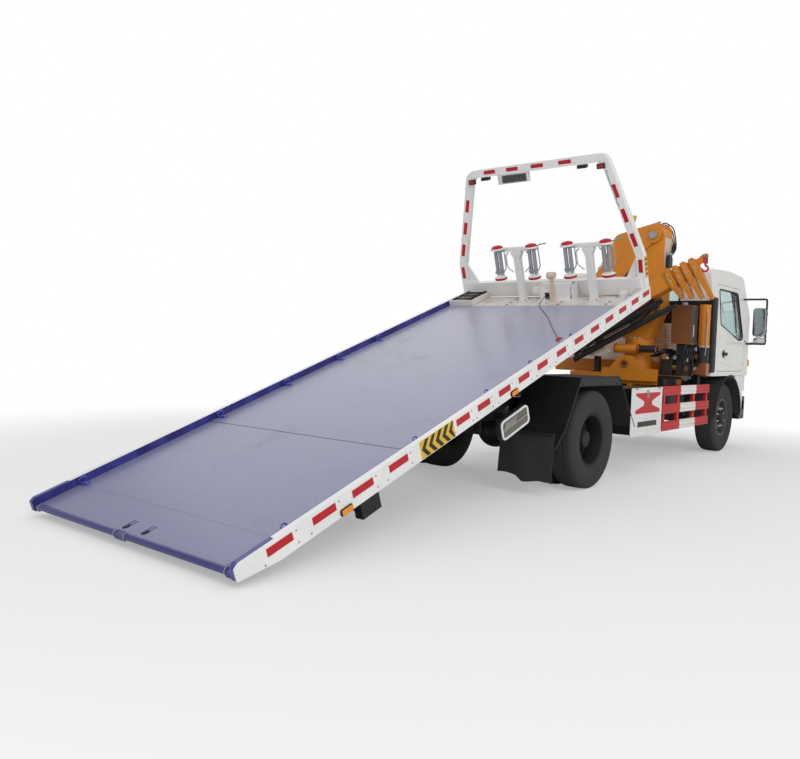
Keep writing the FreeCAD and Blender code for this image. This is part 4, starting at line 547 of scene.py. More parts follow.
def special_finishes(colours):
    """Makes the finishes that have a pattern of their own: deck, rails, rubber, tape, glass, rope and cloth."""
    deck_finish("deck_plate", tuple(colours.deck) + (1.0,), bpy.context.scene.truck_sizes.plate_pitch)

    rail = Finish("rail_paint", srgb(240, 240, 238), 0.34, Coat_Weight=0.25, Coat_Roughness=0.12)
    white, _ = rail.worn(srgb(240, 240, 238), srgb(150, 140, 130), 0.16, 0.04, 2.0, 0.34, 0.0)
    ways = rail.parts(rail.mapped(turn=(0, BED_TILT, 0)))
    across = rail.sum("ABSOLUTE", ways[1])
    at_tail = rail.spread(rail.sum("ADD", ways[0], BED_S_AT_ZERO), 0.325, 0.335)
    edge = rail.sum("ADD", rail.sum("MULTIPLY", at_tail, -0.0395), 1.246)
    blue = rail.sum("LESS_THAN", across, edge)
    navy = rail.mix(rail.spread(rail.noise(7.0, 5.0), 0.35, 0.7), srgb(44, 42, 120), srgb(68, 66, 152))
    rail.set("Base Color", rail.mix(blue, white, navy))
    rail.bump(rail.noise(60, 3.0), 0.6, 0.0002)

    rubber = Finish("tyre_rubber", srgb(22, 22, 21), 0.82, Specular_IOR_Level=0.25)
    rubber.worn(srgb(22, 22, 21), srgb(52, 47, 41), 0.26, 0.2, 4.0, 0.82)
    rubber.bump(rubber.noise(70, 5.0), 0.6, 0.0012)

    flap = Finish("flap_rubber", srgb(22, 22, 22), 0.62)
    flap.worn(srgb(22, 22, 22), srgb(58, 52, 46), 0.5, 0.2, 2.0, 0.6, 0.45)
    flap.bump(flap.noise(40, 5.0), 0.5, 0.002)

    for name, tone in (("reflector_red", srgb(196, 20, 34)), ("reflector_white", srgb(232, 232, 236))):
        tape = Finish(name, tone, 0.42, Coat_Weight=0.15, Coat_Roughness=0.2, Specular_IOR_Level=0.3)
        cells = tape.node("ShaderNodeTexVoronoi", {"Vector": tape.place, "Scale": 130.0}, feature="DISTANCE_TO_EDGE")
        edge = tape.spread(cells.outputs["Distance"], 0.0, 0.09)
        tape.set("Base Color", tape.mix(edge, shade(tone, 0.75), tone))
        tape.bump(edge, 0.4, 0.0003)

    glass = Finish("cab_glass_clear", srgb(214, 228, 228), 0.02, Transmission_Weight=1.0, IOR=1.45)
    dust = glass.spread(glass.noise(2.6, 6.0), 0.45, 0.8, 0.01, 0.14)
    glass.set("Roughness", dust)

    mirror = Finish("mirror_glass", srgb(218, 224, 228), 0.03, 1.0)
    mirror.set("Roughness", mirror.spread(mirror.noise(6.0), 0.3, 0.8, 0.02, 0.12))

    hose = Finish("hose_rubber", srgb(26, 26, 28), 0.5)
    hose.worn(srgb(26, 26, 28), srgb(74, 70, 66), 0.3, 0.15, 12.0, 0.45)
    weave = hose.node("ShaderNodeTexVoronoi", {"Vector": hose.place, "Scale": 260.0})
    hose.bump(weave.outputs["Distance"], 0.5, 0.0008)

    rope = Finish("wire_rope", srgb(110, 108, 104), 0.42, 0.8)
    rope.worn(srgb(120, 118, 114), srgb(62, 56, 50), 0.4, 0.2, 30.0, 0.4)
    rope.bump(rope.noise(300, 3.0), 0.6, 0.0008)

    ribbed = Finish("lens_ribbed", srgb(110, 104, 98), 0.3, 0.2, Coat_Weight=0.2)
    lines = ribbed.sum("FRACT", ribbed.sum("MULTIPLY", ribbed.parts(ribbed.mapped(turn=(0, BED_TILT, 0)))[0], 38.0))
    ridge = ribbed.spread(ribbed.sum("ABSOLUTE", ribbed.sum("SUBTRACT", lines, 0.5)), 0.1, 0.4)
    ribbed.set("Base Color", ribbed.mix(ridge, srgb(58, 54, 50), srgb(134, 128, 120)))
    ribbed.bump(ridge, 0.8, 0.003)

    cloth = Finish("seat_cloth", srgb(70, 72, 80), 0.85, Sheen_Weight=0.3)
    ways = cloth.parts(cloth.place)
    warp = cloth.sum("SINE", cloth.sum("MULTIPLY", ways[1], 900.0))
    weft = cloth.sum("SINE", cloth.sum("MULTIPLY", cloth.sum("ADD", ways[0], ways[2]), 900.0))
    knit = cloth.sum("MULTIPLY", warp, weft)
    cloth.set("Base Color", cloth.mix(cloth.spread(knit, -1, 1), srgb(54, 56, 64), srgb(88, 90, 98)))
    cloth.bump(knit, 0.4, 0.0006)


# ---------------------------------------------------------------- wheels
TYRE_KEYS = ((0.276, 0.1), (0.284, 0.116), (0.3, 0.121), (0.318, 0.128), (0.324, 0.1275), (0.345, 0.1335),
    (0.395, 0.1373), (0.44, 0.1368), (0.449, 0.1345), (0.468, 0.1325), (0.492, 0.1235), (0.506, 0.1125),
    (0.5125, 0.098), (0.515, 0.08), (0.516, 0.05), (0.516, 0.0))


def tyre(middle_y, count, groove):
    """A tyre round the y axis. Its section is a line of (radius, half width) joined smoothly; the tread is
    cut inwards by groove where three grooves run round it and where the shoulder is split into count blocks."""
    keys = np.array(TYRE_KEYS)
    keys = np.concatenate([keys * (1, -1), keys[::-1][1:]])
    run = np.concatenate([[0], np.cumsum(np.linalg.norm(np.diff(keys, axis=0), axis=1))])
    t = np.linspace(0, run[-1], 73)
    radius, along = np.interp(t, run, keys[:, 0]), np.interp(t, run, keys[:, 1])
    a = circle(count * 8)[None]
    radius, along = radius[:, None], along[:, None]
    across = np.abs(along)
    on_tread = np.clip((radius - 0.488) / 0.01, 0, 1)
    zigzag = 0.004 * np.sign(np.sin(a * count))
    rings = np.clip(1 - np.abs(np.abs(along + zigzag) - 0.036) / 0.0055, 0, 1)
    rings = np.maximum(rings, np.clip(1 - np.abs(across - 0.077) / 0.006, 0, 1))
    split = np.clip(np.sin(a * count + along * 14) * 2.4 - 1.2, 0, 1) * np.clip((across - 0.078) / 0.006, 0, 1)
    sipes = np.clip(np.sin(a * count * 2) * 3 - 2, 0, 1) * (across < 0.072) * 0.35
    cut = np.maximum(np.maximum(rings, split), sipes) * on_tread * groove
    flank = np.clip(1 - np.abs(radius - 0.462) / 0.012, 0, 1) * (np.sin(a * count * 2) > 0.3) * 0.0022
    r = radius - cut - flank * 0.4
    y = along * (1 - flank) + middle_y
    points = np.stack([r * np.cos(a), y + 0 * a, r * np.sin(a)], -1)
    return surface(points, wrap_cols=True)


def hand_holes(count, hole_at, hole_r, inner, outer, dish):
    """A wheel disc with round holes. Each sector is a grid from its hole's circle (t = 0) to the sector's
    border (t = 1); the height of every point is dish(radius)."""
    a = circle(32)
    rim = np.stack([hole_at + hole_r * np.cos(a), hole_r * np.sin(a)], -1)
    half = pi / count
    ray = np.stack([np.cos(a), np.sin(a)], -1)
    reach = 1 / np.maximum(np.abs(ray[:, 0]), np.abs(ray[:, 1]))
    square = ray * reach[:, None]
    radius = (inner + outer) / 2 + square[:, 0] * (outer - inner) / 2
    angle = square[:, 1] * half
    border = np.stack([radius * np.cos(angle), radius * np.sin(angle)], -1)
    t = np.linspace(0, 1, 7)[:, None, None]
    flat = (1 - t) * rim + t * border
    lip = flat[:1]
    sectors = []
    for k in range(count):
        turn = 2 * half * k
        c, s = cos(turn), sin(turn)
        u, v = flat[..., 0] * c - flat[..., 1] * s, flat[..., 0] * s + flat[..., 1] * c
        y = dish(np.hypot(u, v))
        front = np.stack([u, y, v], -1)
        u, v = lip[..., 0] * c - lip[..., 1] * s, lip[..., 0] * s + lip[..., 1] * c
        wall = np.stack([u, dish(np.hypot(u, v)) - 0.012, v], -1)
        sectors.append(surface(np.concatenate([wall, front]), wrap_cols=True))
    return joined(*sectors)


def barrel(middle_y, half):
    """The rolled rim: a closed profile with a turned lip at each edge and a well between."""
    outer = [(0.262, -half), (0.277, -half + 0.002), (0.281, -half + 0.01), (0.272, -half + 0.02),
        (0.262, -half + 0.03), (0.246, -0.03), (0.246, 0.03), (0.262, half - 0.03), (0.272, half - 0.02),
        (0.281, half - 0.01), (0.277, half - 0.002), (0.262, half)]
    inner = [(0.254, half - 0.004), (0.238, 0.035), (0.238, -0.035), (0.254, -half + 0.004)]
    return lathe(outer + inner, (0, middle_y, 0), "y", 64, closed=True)


NUT_HEIGHT = 0.03


def on_circle(count, radius, y, start=0.0):
    """Places spaced evenly on a circle round the y axis."""
    a = start + np.arange(count) * 2 * pi / count
    return np.stack([radius * np.cos(a), np.full(count, y), radius * np.sin(a)], -1)


def nut_ring(count, radius, y):
    """Washered nuts on a circle, half a step round from the x axis, each with its stud's end."""
    places = on_circle(count, radius, y, pi / count)
    nuts = hexagon_heads(places, "y", 0.034, NUT_HEIGHT, 0.024)
    end = NUT_HEIGHT + 0.018
    studs = copies(lathe([(0.003, 0), (0.0105, 0), (0.0105, end - 0.004), (0.007, end), (0.003, end)], (0, 0, 0), "y",
        10), places)
    return joined(nuts, studs)


TREAD_BLOCKS = 54
TREAD_DEPTH = 0.011


def set_on_axle(axle_x, side, parts):
    """Brings a wheel's parts, each (shape, finish, node that it stands for), to its axle and side."""
    return {part: (on_side(shifted(shape, (axle_x, 0, WHEEL_Z)), side), finish, node)
        for part, (shape, finish, node) in parts.items()}


def front_wheel(side):
    """Front wheel shapes at the kingpin side's own y: disc, hub and nuts, then the tyre."""
    middle = 0.985

    def dish(radius):
        """Flat to 0.17, then a smooth fall of 45 mm to the barrel."""
        fall = np.clip((radius - 0.165) / 0.075, 0, 1)
        return middle + 0.063 - 0.045 * fall * fall * (3 - 2 * fall)

    face = hand_holes(8, 0.2, 0.028, 0.15, 0.25, dish)
    face_ring = lathe([(0.098, 0.045), (0.104, 0.065), (0.15, 0.063), (0.152, 0.05)], (0, middle, 0), "y", 48)
    hub = lathe([(0.03, -0.07), (0.1, -0.07), (0.1, 0.068), (0.092, 0.082), (0.088, 0.11), (0.076, 0.124),
        (0.04, 0.13), (0.036, 0.128)], (0, middle, 0), "y", 40)
    cap_bolts = hexagon_heads(on_circle(6, 0.082, middle + 0.112), "y", 0.014, 0.008)
    return set_on_axle(FRONT_AXLE_X, side, {
        "tyre_front_": (tyre(middle, TREAD_BLOCKS, TREAD_DEPTH), "tyre_rubber", "front_tyre_"),
        "rim_front_": (joined(barrel(middle, 0.114), face, face_ring), "wheel_steel", "front_rim_"),
        "hub_front_": (joined(hub, cap_bolts), "cast_iron", None),
        "nuts_front_": (nut_ring(8, 0.138, middle + 0.064), "bright_steel", None)})


def rear_wheels(side):
    """Twin rear wheels: two tyres, two rims face to face, a long hub and the outer ring of nuts."""
    outer, inner = 1.062, 0.742

    def rise(radius):
        """From nought at 0.175 to 32 mm at the barrel, as a square."""
        return 0.032 * np.clip((radius - 0.175) / 0.07, 0, 1) ** 2

    discs = [hand_holes(8, 0.198, 0.03, 0.15, 0.25, lambda radius: outer - 0.083 + rise(radius)),
        hand_holes(8, 0.198, 0.03, 0.15, 0.25, lambda radius: inner + 0.095 - rise(radius))]
    plates = [lathe([(0.1, -0.016), (0.1, 0.0), (0.152, 0.0), (0.152, -0.016)], (0, outer - 0.083, 0), "y", 48),
        lathe([(0.1, 0.0), (0.1, 0.012), (0.152, 0.012), (0.152, 0.0)], (0, inner + 0.09, 0), "y", 48)]
    hub = lathe([(0.04, -0.09), (0.104, -0.09), (0.104, 0.27), (0.1, 0.33), (0.092, 0.352), (0.086, 0.372),
        (0.05, 0.379), (0.045, 0.377)], (0, inner, 0), "y", 40)
    drum = lathe([(0.11, -0.1), (0.19, -0.1), (0.199, -0.09), (0.199, -0.045), (0.11, -0.045)], (0, inner, 0), "y",
        48)
    flange = hexagon_heads(on_circle(10, 0.074, inner + 0.374), "y", 0.015, 0.004)
    tyres = [tyre(middle, TREAD_BLOCKS, TREAD_DEPTH) for middle in (outer, inner)]
    rims = joined(barrel(outer, 0.112), barrel(inner, 0.112), *discs, *plates)
    return set_on_axle(REAR_AXLE_X, side, {
        "tyres_rear_": (joined(*tyres), "tyre_rubber", "rear_tyres_"),
        "rims_rear_": (rims, "dark_wheel_steel", "rear_rims_"),
        "hub_rear_": (joined(hub, drum, flange), "cast_iron", None),
        "nuts_rear_": (nut_ring(8, 0.138, outer - 0.083), "wheel_steel", None)})


SIDES = ((1, "left"), (-1, "right"))


class TRUCK_OT_wheels(bpy.types.Operator):
    """Builds the six tyres and their rims, hubs and nuts"""

    bl_idname = "truck.wheels"
    bl_label = "Tyres and rims"

    def execute(self, context):
        for side, word in SIDES:
            for body, shapes in (("front_wheel_", front_wheel(side)), ("rear_wheels_", rear_wheels(side))):
                for part, (shape, finish, node) in shapes.items():
                    piece(part + word, shape, finish, body + word, [node + word] if node else (), at=as_it_is)
        return {"FINISHED"}


# ---------------------------------------------------------------- bed
def leaning(u0, u1, v0, v1, lean):
    """A parallelogram whose top edge is moved along by lean."""
    return np.array([(u0, v0), (u1, v0), (u1 + lean, v1), (u0 + lean, v1)], float)


def leaning_across(u0, u1, v, half, lean):
    """A narrow band from (u0, v) to (u1, v + lean)."""
    return np.array([(u0, v - half), (u1, v + lean - half), (u1, v + lean + half), (u0, v + half)], float)


RAIL_MARKS_S = (0.352, 0.745, 1.126, 1.519, 2.346, 2.653, 2.982, 3.311, 3.65, 4.021, 4.392, 4.753, 5.103, 5.442,
    5.781, 6.095)
RAIL_LAMPS_S = (0.936, 3.12)
CHEVRONS_S = (1.775, 2.215)


def on_rail(ring, low, high, edge):
    """A flat piece on the outer face of the right rail."""
    return slab(ring, -BED_HALF - high, -BED_HALF - low, edge)


def chevrons(u0, u1, v0, v1, count):
    """Arrow-shaped bands that point to the lower u: two leaning halves that meet at mid height."""
    pitch = (u1 - u0) / count
    middle = (v0 + v1) / 2
    lean = (v1 - v0) * 0.42
    bands = []
    for k in range(count):
        a = u0 + pitch * (k + 0.12)
        b = a + pitch * 0.5
        ring = np.array([(a, middle), (a + lean, v0), (b + lean, v0), (b, middle), (b + lean, v1), (a + lean, v1)])
        ring[:, 0] = np.minimum(ring[:, 0], u1 - 0.002)
        bands.append(ring)
    return bands


class TRUCK_OT_rail_marks(bpy.types.Operator):
    """Puts the reflectors, side lamps, warning chevrons and rivets on the bed's side rails"""

    bl_idname = "truck.rail_marks"
    bl_label = "Side rail reflectors"

    def execute(self, context):
        strips, rivets = [], []
        for s in RAIL_MARKS_S:
            half = 0.108 if s < 1.6 else 0.092
            strips.append(on_rail(rectangle(s - half, s + half, -0.08, -0.026, 0.004), 0.0, 0.003, 0.0006))
            rivets += [(s + half + 0.035, n) for n in (-0.035, -0.118)] + [(s - half - 0.03, -0.118)]
        piece("rail_reflectors", strips, "reflector_red", "bed", both=True)
        head = lathe([(0.002, 0.0035), (0.006, 0.0028), (0.008, 0.001), (0.0085, 0)][::-1], (0, 0, 0), "y", 10)
        head = flipped(head, (1, -1, 1))
        piece("rail_rivets", copies(head, [(s, -BED_HALF, n) for s, n in rivets if s < 6.15]), "galvanised", "bed",
            both=True)

        s0, s1 = CHEVRONS_S
        piece("rail_chevron_plates", on_rail(rectangle(s0, s1, -0.146, -0.006, 0.004), 0.0, 0.002, 0.0004),
            "mark_yellow", "bed", both=True)
        piece("rail_chevron_bands", [on_rail(ring, 0.0016, 0.003, 0.0003) for ring in chevrons(s0 + 0.004, s1, -0.142,
            -0.01, 5)], "mark_black", "bed", both=True)

        lenses, bases = [], []
        for s in RAIL_LAMPS_S:
            bases.append(on_rail(rectangle(s - 0.06, s + 0.06, -0.147, -0.098, 0.016), 0.0, 0.008, 0.002))
            lenses.append(on_rail(rectangle(s - 0.053, s + 0.053, -0.142, -0.103, 0.014), 0.007, 0.026, 0.007))
        piece("rail_lamp_bases", bases, "black_plastic", "bed", both=True)
        piece("rail_lamp_lenses", lenses, "lens_amber", "bed", both=True)
        return {"FINISHED"}


KEY_SLOTS_Y = (-0.17, 0.06)
RINGS_RIGHT_S = (0.48, 1.84, 2.84, 3.59, 4.4)
RINGS_LEFT_S = (0.42, 1.85, 2.72, 3.52, 4.2)


def tie_ring(s, side):
    """A lashing ring that leans against the rail, held by a bent strap welded to the deck."""
    y = side * (BED_HALF - RAIL_WIDTH - 0.052)
    deck = DECK_N + 0.0005
    ring = ring_bar((s, y + side * 0.022, deck + 0.037), (0.12, side * 0.55, 0.29), 0.032, 0.006, 28)
    strap = tube(rounded_path([(s, y - side * 0.022, deck), (s, y - side * 0.02, deck + 0.014),
        (s, y + side * 0.004, deck + 0.016), (s, y + side * 0.01, deck)], 0.012), 0.009, 8)
    pad = plate((s - 0.028, s + 0.028, y - 0.036, y + 0.036), deck - 0.001, deck + 0.004, 0.001, "xy", 0.01)
    return joined(ring, strap, pad)


class TRUCK_OT_deck_fittings(bpy.types.Operator):
    """Puts lashing rings, key slots and bolts on the deck, and the lip and roller collars at its tail"""

    bl_idname = "truck.deck_fittings"
    bl_label = "Deck fittings"

    def execute(self, context):
        piece("lashing_ring_bars", [tie_ring(s, -1) for s in RINGS_RIGHT_S] + [tie_ring(s, 1) for s in RINGS_LEFT_S],
            "ring_blue_paint", "bed", ["lashing_rings"])
        inside = BED_HALF - RAIL_WIDTH
        low, high = -0.0755, -0.0738
        wells = []
        for y in KEY_SLOTS_Y:
            well = disc(0.003, 0.043, low, -0.074, (0, 0, 0), "z", 28)
            wells.append((well[0] * (1.75, 1.0, 1.0) + (0.102, y, 0), well[1]))
            for lean in (-0.03, 0.0, 0.03):
                wells.append(slab(leaning_across(0.13, 0.232, y + lean * 0.6, 0.0085, lean), low, high, 0.0003, "xy"))
        for y in (inside - 0.165, 0.165 - inside):
            wells.append(slab(outline([(0.105, y - 0.026, 0.012), (0.15, y - 0.01, 0.006), (0.205, y - 0.018, 0.006),
                (0.205, y + 0.018, 0.006), (0.15, y + 0.01, 0.006), (0.105, y + 0.026, 0.012)]), low, high, 0.0003,
                "xy"))
        piece("key_slot_wells", wells, "mark_black", "bed")
        piece("front_plate_bolts", hexagon_heads([(s, side * y, DECK_N - 0.0005) for s in (5.7, 5.8, 6.0)
            for y in (0.35, 0.95) for side in (1, -1)], "z", 0.024, 0.012, 0.018), "galvanised", "bed")
        piece("tail_lip", block((0.046, -inside + 0.004, DECK_N - 0.014), (0.058, inside - 0.004, DECK_N + 0.0045),
            0.002), "rail_blue_paint", "bed")
        ends = [lathe([(0.01, -0.004), (0.028, -0.004), (0.03, 0.0), (0.028, 0.004), (0.01, 0.004)],
            (0.03, y, DECK_N - 0.006), "y", 24) for y in (-inside + 0.062, -0.062, 0.062, inside - 0.062)]
        piece("tail_roller_collars", ends, "galvanised", "bed")
        return {"FINISHED"}


HEAD_S = 6.16
HEAD_BACK = HEAD_S - 0.04
HEAD_LEG = ((1.257, 0.38), (0.918, 1.545))
HEAD_TOP = 1.545
HEAD_WIDE = 0.092


def leg_middle(n):
    """Half width of the loop's middle line at height n: straight below the knee, leaning in above it."""
    (y0, n0), (y1, n1) = HEAD_LEG
    t = np.clip((n - n0) / (n1 - n0), 0, 1)
    return y0 + (y1 - y0) * t - HEAD_WIDE / 2


class TRUCK_OT_headboard_marks(bpy.types.Operator):
    """Puts reflectors, work lamps, the lamp panel, chevrons and wiring on the headboard loop"""

    bl_idname = "truck.headboard_marks"
    bl_label = "Headboard lamps and reflectors"

    def execute(self, context):
        strips = []
        for n in (0.26, 0.56, 0.84, 1.12):
            ends = np.array([(leg_middle(n - 0.075), n - 0.075), (leg_middle(n + 0.075), n + 0.075)])
            along = (ends[1] - ends[0]) / np.linalg.norm(ends[1] - ends[0])
            across = np.array([along[1], -along[0]]) * 0.024
            ring = np.array([ends[0] - across, ends[0] + across, ends[1] + across, ends[1] - across])
            strips.append(mirrored(slab(ring, HEAD_BACK - 0.003, HEAD_BACK, 0.0006, "yz")))
        for y in (0.6, 0.28, -0.06, -0.42):
            ring = rectangle(y - 0.08, y + 0.08, HEAD_TOP - HEAD_WIDE / 2 - 0.016, HEAD_TOP - HEAD_WIDE / 2 + 0.028,
                0.003)
            strips.append(slab(ring, HEAD_BACK - 0.003, HEAD_BACK, 0.0006, "yz"))
        piece("headboard_reflectors", strips, "reflector_red", "bed")

        low, high = HEAD_TOP - HEAD_WIDE - 0.115, HEAD_TOP - HEAD_WIDE + 0.002
        piece("lamp_panel_case", block((HEAD_S - 0.036, 0.085, low), (HEAD_S + 0.034, 0.5, high), 0.006),
            "front_plate_paint", "bed")
        piece("lamp_panel_face", block((HEAD_S - 0.044, 0.1, low + 0.014), (HEAD_S - 0.034, 0.43, high - 0.016),
            0.002), "dash_plastic", "bed")
        a, b = np.meshgrid(np.linspace(0.12, 0.41, 12), np.linspace(low + 0.026, high - 0.03, 4))
        spots = np.stack([np.full(a.size, HEAD_S - 0.044), a.ravel(), b.ravel()], -1)
        piece("lamp_panel_cells", copies(flipped(lathe([(0.011, 0), (0.01, -0.003), (0.006, -0.0055),
            (0.002, -0.006)], (0, 0, 0), "x", 10)), spots), "lens_smoke", "bed")

        small, faces = [], []
        for y, n in ((0.86, 1.41), (-0.86, 1.41)):
            small.append(block((HEAD_BACK - 0.034, y - 0.045, n - 0.03), (HEAD_BACK + 0.01, y + 0.045, n + 0.03),
                0.006))
            faces.append(block((HEAD_BACK - 0.04, y - 0.037, n - 0.022), (HEAD_BACK - 0.03, y + 0.037, n + 0.022),
                0.004))
        for y in (0.68, -0.62):
            small.append(block((HEAD_S - 0.05, y - 0.055, HEAD_TOP - HEAD_WIDE - 0.045),
                (HEAD_S + 0.02, y + 0.055, HEAD_TOP - HEAD_WIDE - 0.004), 0.008))
            small.append(block((HEAD_S - 0.02, y - 0.012, HEAD_TOP - HEAD_WIDE - 0.008),
                (HEAD_S + 0.005, y + 0.012, HEAD_TOP - HEAD_WIDE + 0.003), 0.002))
        piece("headboard_lamp_cases", small, "black_plastic", "bed")
        piece("headboard_lamp_lenses", faces, "lens_red", "bed")

        bands = []
        for k in range(4):
            n = 0.14 + 0.056 * k
            ring = np.array([(HEAD_S - 0.03, n), (HEAD_S, n + 0.02), (HEAD_S + 0.03, n), (HEAD_S + 0.03, n + 0.022),
                (HEAD_S, n + 0.042), (HEAD_S - 0.03, n + 0.022)])
            bands.append(mirrored(slab(ring, -BED_HALF - 0.003, -BED_HALF - 0.0016, 0.0003)))
        piece("headboard_chevron_plates", plate((HEAD_S - 0.034, HEAD_S + 0.034, 0.12, 0.365), -BED_HALF - 0.002,
            -BED_HALF, 0.0004, "xz", 0.003), "mark_yellow", "bed", both=True)
        piece("headboard_chevron_bands", bands, "mark_black", "bed")

        n = np.array([1.36, 1.3, 1.22, 1.1, 0.99, 0.95])
        y = -leg_middle(n) + (0.01, 0.02, 0.026, 0.018, 0.026, 0.02)
        wire = rounded_path(np.column_stack([np.full(6, HEAD_BACK - 0.005), y, n]), 0.05)
        piece("headboard_wiring", tube(wire, 0.0045, 8), "galvanised", "bed")
        return {"FINISHED"}


RACK_S = 5.88
RACK_POSTS_Y = (0.215, -0.725)
RACK_ARM_N = 0.585


def rack_station(y):
    """One fork station: twin upright tubes between two round caps, with a side rod and pins."""
    s = RACK_S - 0.06
    steel = [disc(0.014, 0.0235, 0.285, 0.572, (s, y + shift, 0), "z", 20) for shift in (-0.03, 0.03)]
    steel.append(disc(0.01, 0.02, -0.05, 0.06, (s, y, 0.32), "y", 16))
    rod = rounded_path([(s + 0.01, y - 0.085, 0.595), (s + 0.01, y - 0.088, 0.36), (s + 0.01, y - 0.03, 0.3)], 0.05)
    steel.append(tube(rod, 0.007, 8))
    top = [(0.006, 0.592), (0.075, 0.592), (0.083, 0.598), (0.083, 0.611), (0.076, 0.616), (0.006, 0.616)]
    foot = [(0.006, 0.25), (0.072, 0.25), (0.078, 0.256), (0.072, 0.262), (0.006, 0.262)]
    dome = [(0.006, 0.6155), (0.07, 0.6155), (0.072, 0.622), (0.061, 0.638), (0.036, 0.648), (0.006, 0.651)]
    under = [(0.006, 0.222), (0.066, 0.222), (0.078, 0.232), (0.074, 0.25), (0.006, 0.25)]
    white, red = ([lathe(profile, (s, y, 0), "z") for profile in pair] for pair in ((top, foot), (dome, under)))
    for n in (0.6, 0.262):
        white.append(block((s - 0.02, y - 0.045, n - 0.008), (s + 0.035, y + 0.045, n + 0.012), 0.004))
    return joined(*steel), joined(*white), joined(*red)


class TRUCK_OT_fork_rack(bpy.types.Operator):
    """Builds the two rack posts with their four fork stations"""

    bl_idname = "truck.fork_rack"
    bl_label = "Fork rack"

    def execute(self, context):
        steel, white, red = [], [], []
        for y in RACK_POSTS_Y:
            post = outline([(y - 0.04, DECK_N + 0.014, 0), (y - 0.04, 0.47, 0.03), (y - 0.085, 0.56, 0.02),
                (y + 0.085, 0.56, 0.02), (y + 0.04, 0.47, 0.03), (y + 0.04, DECK_N + 0.014, 0)], 5)
            white.append(slab(post, RACK_S - 0.038, RACK_S + 0.038, 0.005, "yz"))
            white.append(block((RACK_S - 0.07, y - 0.07, DECK_N + 0.0005), (RACK_S + 0.07, y + 0.07, DECK_N + 0.014),
                0.003))
            white.append(block((RACK_S - 0.028, y - 0.29, RACK_ARM_N - 0.024),
                (RACK_S + 0.028, y + 0.29, RACK_ARM_N + 0.024), 0.005))
            arm_rod = rounded_path([(RACK_S - 0.03, y - 0.3, RACK_ARM_N + 0.03),
                (RACK_S - 0.03, y - 0.34, RACK_ARM_N + 0.045), (RACK_S - 0.03, y - 0.42, RACK_ARM_N + 0.05)], 0.03)
            steel.append(tube(arm_rod, 0.008, 8))
            steel.append(hexagon_heads([(RACK_S + a, y + b, DECK_N + 0.0135) for a in (-0.052, 0.052)
                for b in (-0.055, 0.055)], "z", 0.02, 0.012, 0.016))
            for offset in (-0.235, 0.235):
                a, b, c = rack_station(y + offset)
                steel.append(a)
                white.append(b)
                red.append(c)
                hoop_y = y + offset * 0.52
                hoop = rounded_path([(RACK_S, hoop_y, 0.545), (RACK_S, hoop_y + offset * 0.16, 0.52),
                    (RACK_S, hoop_y + offset * 0.16, 0.36), (RACK_S, hoop_y - offset * 0.18, 0.3)], 0.05)
                white.append(tube(hoop, 0.01, 8))
        piece("rack_frame", white, "white_paint", "bed", ["cradle_rack"])
        piece("rack_steel", steel, "galvanised", "bed")
        piece("rack_reflectors", red, "reflector_red", "bed")
        return {"FINISHED"}


class TRUCK_OT_tail_lamps(bpy.types.Operator):
    """Builds the two large tail lamps: a tubular guard, a ribbed lens and its mounting plate"""

    bl_idname = "truck.tail_lamps"
    bl_label = "Tail lamps"

    def execute(self, context):
        s0, s1, n0, n1 = 2.96, 3.43, -0.535, -0.35
        y_in, y_out = 1.1203, 1.19
        middle = (n0 + n1) / 2
        path = outline([(s0 + 0.012, n0 + 0.012, 0.045), (s1 - 0.012, n0 + 0.012, 0.045),
            (s1 - 0.012, n1 - 0.012, 0.045), (s0 + 0.012, n1 - 0.012, 0.045)], 8)
        loop = np.column_stack([path[:, 0], np.full(len(path), -y_out + 0.012), path[:, 1]])
        lens = slab(rectangle(s0 + 0.022, s1 - 0.022, n0 + 0.022, n1 - 0.022, 0.03), -y_out + 0.012, -y_in - 0.004,
            0.004)
        back = plate((s0 + 0.004, s1 - 0.004, n0 + 0.004, n1 - 0.004), -y_out + 0.026, -y_in, 0.003, "xz", 0.04)
        ribs = []
        for count, pitch, thick, low, high, lean, front in (
                (9, 0.022, 0.007, middle + 0.004, n1 - 0.034, 0.035, 0.006),
                (14, 0.026, 0.005, n0 + 0.034, middle - 0.006, -0.02, 0.008)):
            for k in range(count):
                s = s0 + 0.05 + k * pitch
                ribs.append(slab(leaning(s, s + thick, low, high, lean), -y_out + front, -y_out + 0.014, 0.001))
        ribs.append(plate((s0 + 0.03, s1 - 0.03, middle - 0.004, middle + 0.004), -y_out + 0.004, -y_out + 0.014,
            0.001))
        for name, shapes, material, stands_for in (
                ("guards", tube(loop, 0.0105, 12, closed=True), "white_paint", ["tail_lamps"]),
                ("backs", back, "black_plastic", ()), ("lenses", lens, "lens_ribbed", ()),
                ("ribs", ribs, "bright_steel", ())):
            piece("tail_lamp_" + name, shapes, material, "tilting_frame", stands_for, both=True)
        return {"FINISHED"}


# ---------------------------------------------------------------- sides of the chassis
GUARD_Y = 1.2
GUARD_Z = ((0.485, 0.595), (0.7, 0.81), (0.925, 1.035))
GUARD_BANDS = ((1.877, 2.5, "mark_red"), (2.5, 3.08, "mark_white"), (3.08, 3.623, "mark_red"))
GUARD_POSTS = ((1.947, 2.007), (2.44, 2.5), (3.02, 3.08), (3.533, 3.593))


